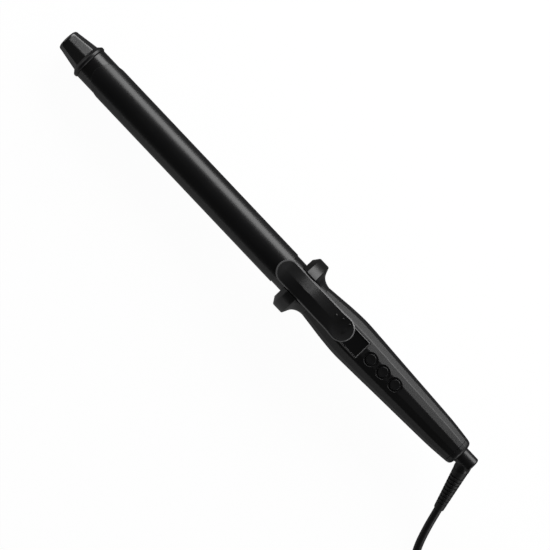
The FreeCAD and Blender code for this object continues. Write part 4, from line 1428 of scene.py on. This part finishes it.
@dataclass
class Fittings:
    """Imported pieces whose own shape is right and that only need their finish."""

    shop: Shop
    nodes: dict[str, bpy.types.Object]
    slots: dict[str, tuple[str, ...]] = field(default_factory=lambda: {
        "insulator_resin": ("barrel_insulator",),
        "heater_ceramic": ("heater_plate",),
        "spreader_aluminium": ("upper_heat_spreader", "lower_heat_spreader"),
        "sensor_glass": ("thermistor",),
        "fuse_metal": ("thermal_fuse",),
        "wire_insulation": ("heater_leads", "sensor_leads", "mains_leads"),
        "spring_steel": ("clip_arm", "hinge_bracket", "clip_spring"),
        "screw_steel": (
            "barrel_screws", "hinge_pin", "lever_screws", "handle_screws", "board_screws"),
        "module_plastic": ("display_module",),
        "component_plastic": ("display_holder", "tact_switches", "triac", "glass_fuse"),
        "board_laminate": ("circuit_board",),
        "capacitor_film": ("filter_capacitor",),
        "contact_brass": ("brush_strips", "ring_contact", "centre_contact")})

    def build(self) -> None:
        """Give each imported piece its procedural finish."""
        for slot, names in self.slots.items():
            material = self.shop.finishes.material(slot)
            for name in names:
                item = self.nodes[name]
                if not item.material_slots:
                    item.data.materials.append(material)
                for place in item.material_slots:
                    place.material = material
                log.info("%s: %s", name, slot)


# ---------------------------------------------------------------- studio

@dataclass
class Studio:
    """Pale table, soft light and the camera."""

    rest: Rest
    eye: Point = (10.26, 7.9, 1335.0)
    right: Point = (-0.6875, -0.7262, 0.0)
    up: Point = (0.7262, -0.6875, 0.0)
    field_of_view: float = 16.14
    table_size: float = 9.0
    white: Point = (0.97, 0.97, 0.97)
    dim_light: Point = (0.05, 0.05, 0.05)
    glow_right: Point = (0.0, 0.0, 0.0)
    glow_left: Point = (0.3, 0.3, 0.3)
    glow_change: Pair = (-0.05, 0.08)
    lamps: tuple[tuple[str, Point, Pair, float], ...] = (
        ("box_right", (0.0, -1.1, 0.44), (1.7, 0.8), 18.0),
        ("strip_left", (0.0, 1.3, 0.1), (2.4, 0.14), 0.8),
        ("strip_front", (1.5, 0.0, 0.3), (0.35, 1.4), 4.0),
        ("strip_back", (-1.5, 0.0, 0.3), (0.35, 1.4), 5.0))

    def build(self) -> None:
        """Set up the table, the light and the camera."""
        self.build_table()
        self.build_world()
        for name, place, size, watts in self.lamps:
            self.lamp(name, place, size, watts)
        self.build_camera()
        bpy.context.scene.view_settings.view_transform = "Standard"

    def build_table(self) -> None:
        """Table top that is white to the camera and throws only a dim light from the left."""
        half = self.table_size / 2
        mesh = bpy.data.meshes.new("table")
        mesh.from_pydata([(x, y, 0) for x, y in box(half, half)], [], [(0, 1, 2, 3)])
        table = bpy.data.objects.new("table", mesh)
        bpy.context.scene.collection.objects.link(table)
        sheet = NodeSheet(bpy.data.materials.new("table_white"))
        colour = sheet.blend((0.05, 0.05, 0.05), (0.06, 0.06, 0.06), sheet.noise(30, 3))
        seen = sheet.add("ShaderNodeLightPath", {}, {}, "Is Camera Ray")
        across = sheet.add("ShaderNodeSeparateXYZ", {}, {"Vector": sheet.place}, "Y")
        low, high = self.glow_change
        side = sheet.add("ShaderNodeMapRange", {},
                         {"Value": across, "From Min": low, "From Max": high})
        glow = sheet.blend(self.glow_right, self.glow_left, side)
        shader = sheet.add("ShaderNodeBsdfPrincipled", {}, {
            "Base Color": colour, "Roughness": 0.8, "Specular IOR Level": 0.1,
            "Emission Color": sheet.blend(glow, self.white, seen), "Emission Strength": 1.0})
        sheet.node("ShaderNodeOutputMaterial", {}, {"Surface": shader})
        mesh.materials.append(sheet.owner)

    def build_world(self) -> None:
        """White backdrop that gives the iron only a dim light of its own."""
        sheet = NodeSheet(bpy.data.worlds.new("studio"))
        seen = sheet.add("ShaderNodeLightPath", {}, {}, "Is Camera Ray")
        dim = sheet.add("ShaderNodeBackground", {}, {"Color": (*self.dim_light, 1)})
        white = sheet.add("ShaderNodeBackground", {}, {"Color": (1, 1, 1, 1)})
        backdrop = sheet.add("ShaderNodeMixShader", {}, {0: seen, 1: dim, 2: white})
        sheet.node("ShaderNodeOutputWorld", {}, {"Surface": backdrop})
        bpy.context.scene.world = sheet.owner

    def lamp(self, name: str, place: Point, size: Pair, watts: float) -> None:
        """Rectangular soft light that faces the iron.

        Args:
            name: its name.
            place: position in metres.
            size: its sides in metres.
            watts: power.
        """
        data = bpy.data.lights.new(name, "AREA")
        data.shape = "RECTANGLE"
        data.size, data.size_y = size
        data.energy = watts
        lamp = bpy.data.objects.new(name, data)
        lamp.location = place
        back = Vector(place).normalized()
        side = Vector((1, 0, 0))
        if abs(back.x) > 0.9:
            side = Vector((0, 0, 1)).cross(back).cross(back).normalized()
        lamp.rotation_euler = Matrix((side, back.cross(side), back)).transposed().to_euler()
        bpy.context.scene.collection.objects.link(lamp)

    def build_camera(self) -> None:
        """Camera straight above the iron, turned so that the handle lies low on the right."""
        data = bpy.data.cameras.new("camera")
        data.sensor_width = 36.0
        data.lens = 18.0 / math.tan(math.radians(self.field_of_view) / 2)
        data.clip_end = 20
        camera = bpy.data.objects.new("camera", data)
        right, up = Vector(self.right), Vector(self.up)
        axes = Matrix((right, up, right.cross(up))).transposed()
        turn = (self.rest.turn @ axes).to_4x4()
        camera.matrix_world = Matrix.Translation(self.rest.place(*self.eye)) @ turn
        bpy.context.scene.collection.objects.link(camera)
        bpy.context.scene.camera = camera


def main() -> None:
    """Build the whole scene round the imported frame."""
    logging.basicConfig(level=logging.INFO, format="%(message)s")
    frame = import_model()
    rest = Rest(frame["joints"])
    shop = Shop(rest, Palette())
    HotEnd(shop).build()
    ThumbLever(shop).build()
    HeatGuard(shop).build()
    Handle(shop).build()
    CordSet(shop).build()
    Fittings(shop, frame["nodes"]).build()
    Studio(rest).build()
    bpy.context.view_layer.update()


if __name__ == "__main__":
    main()
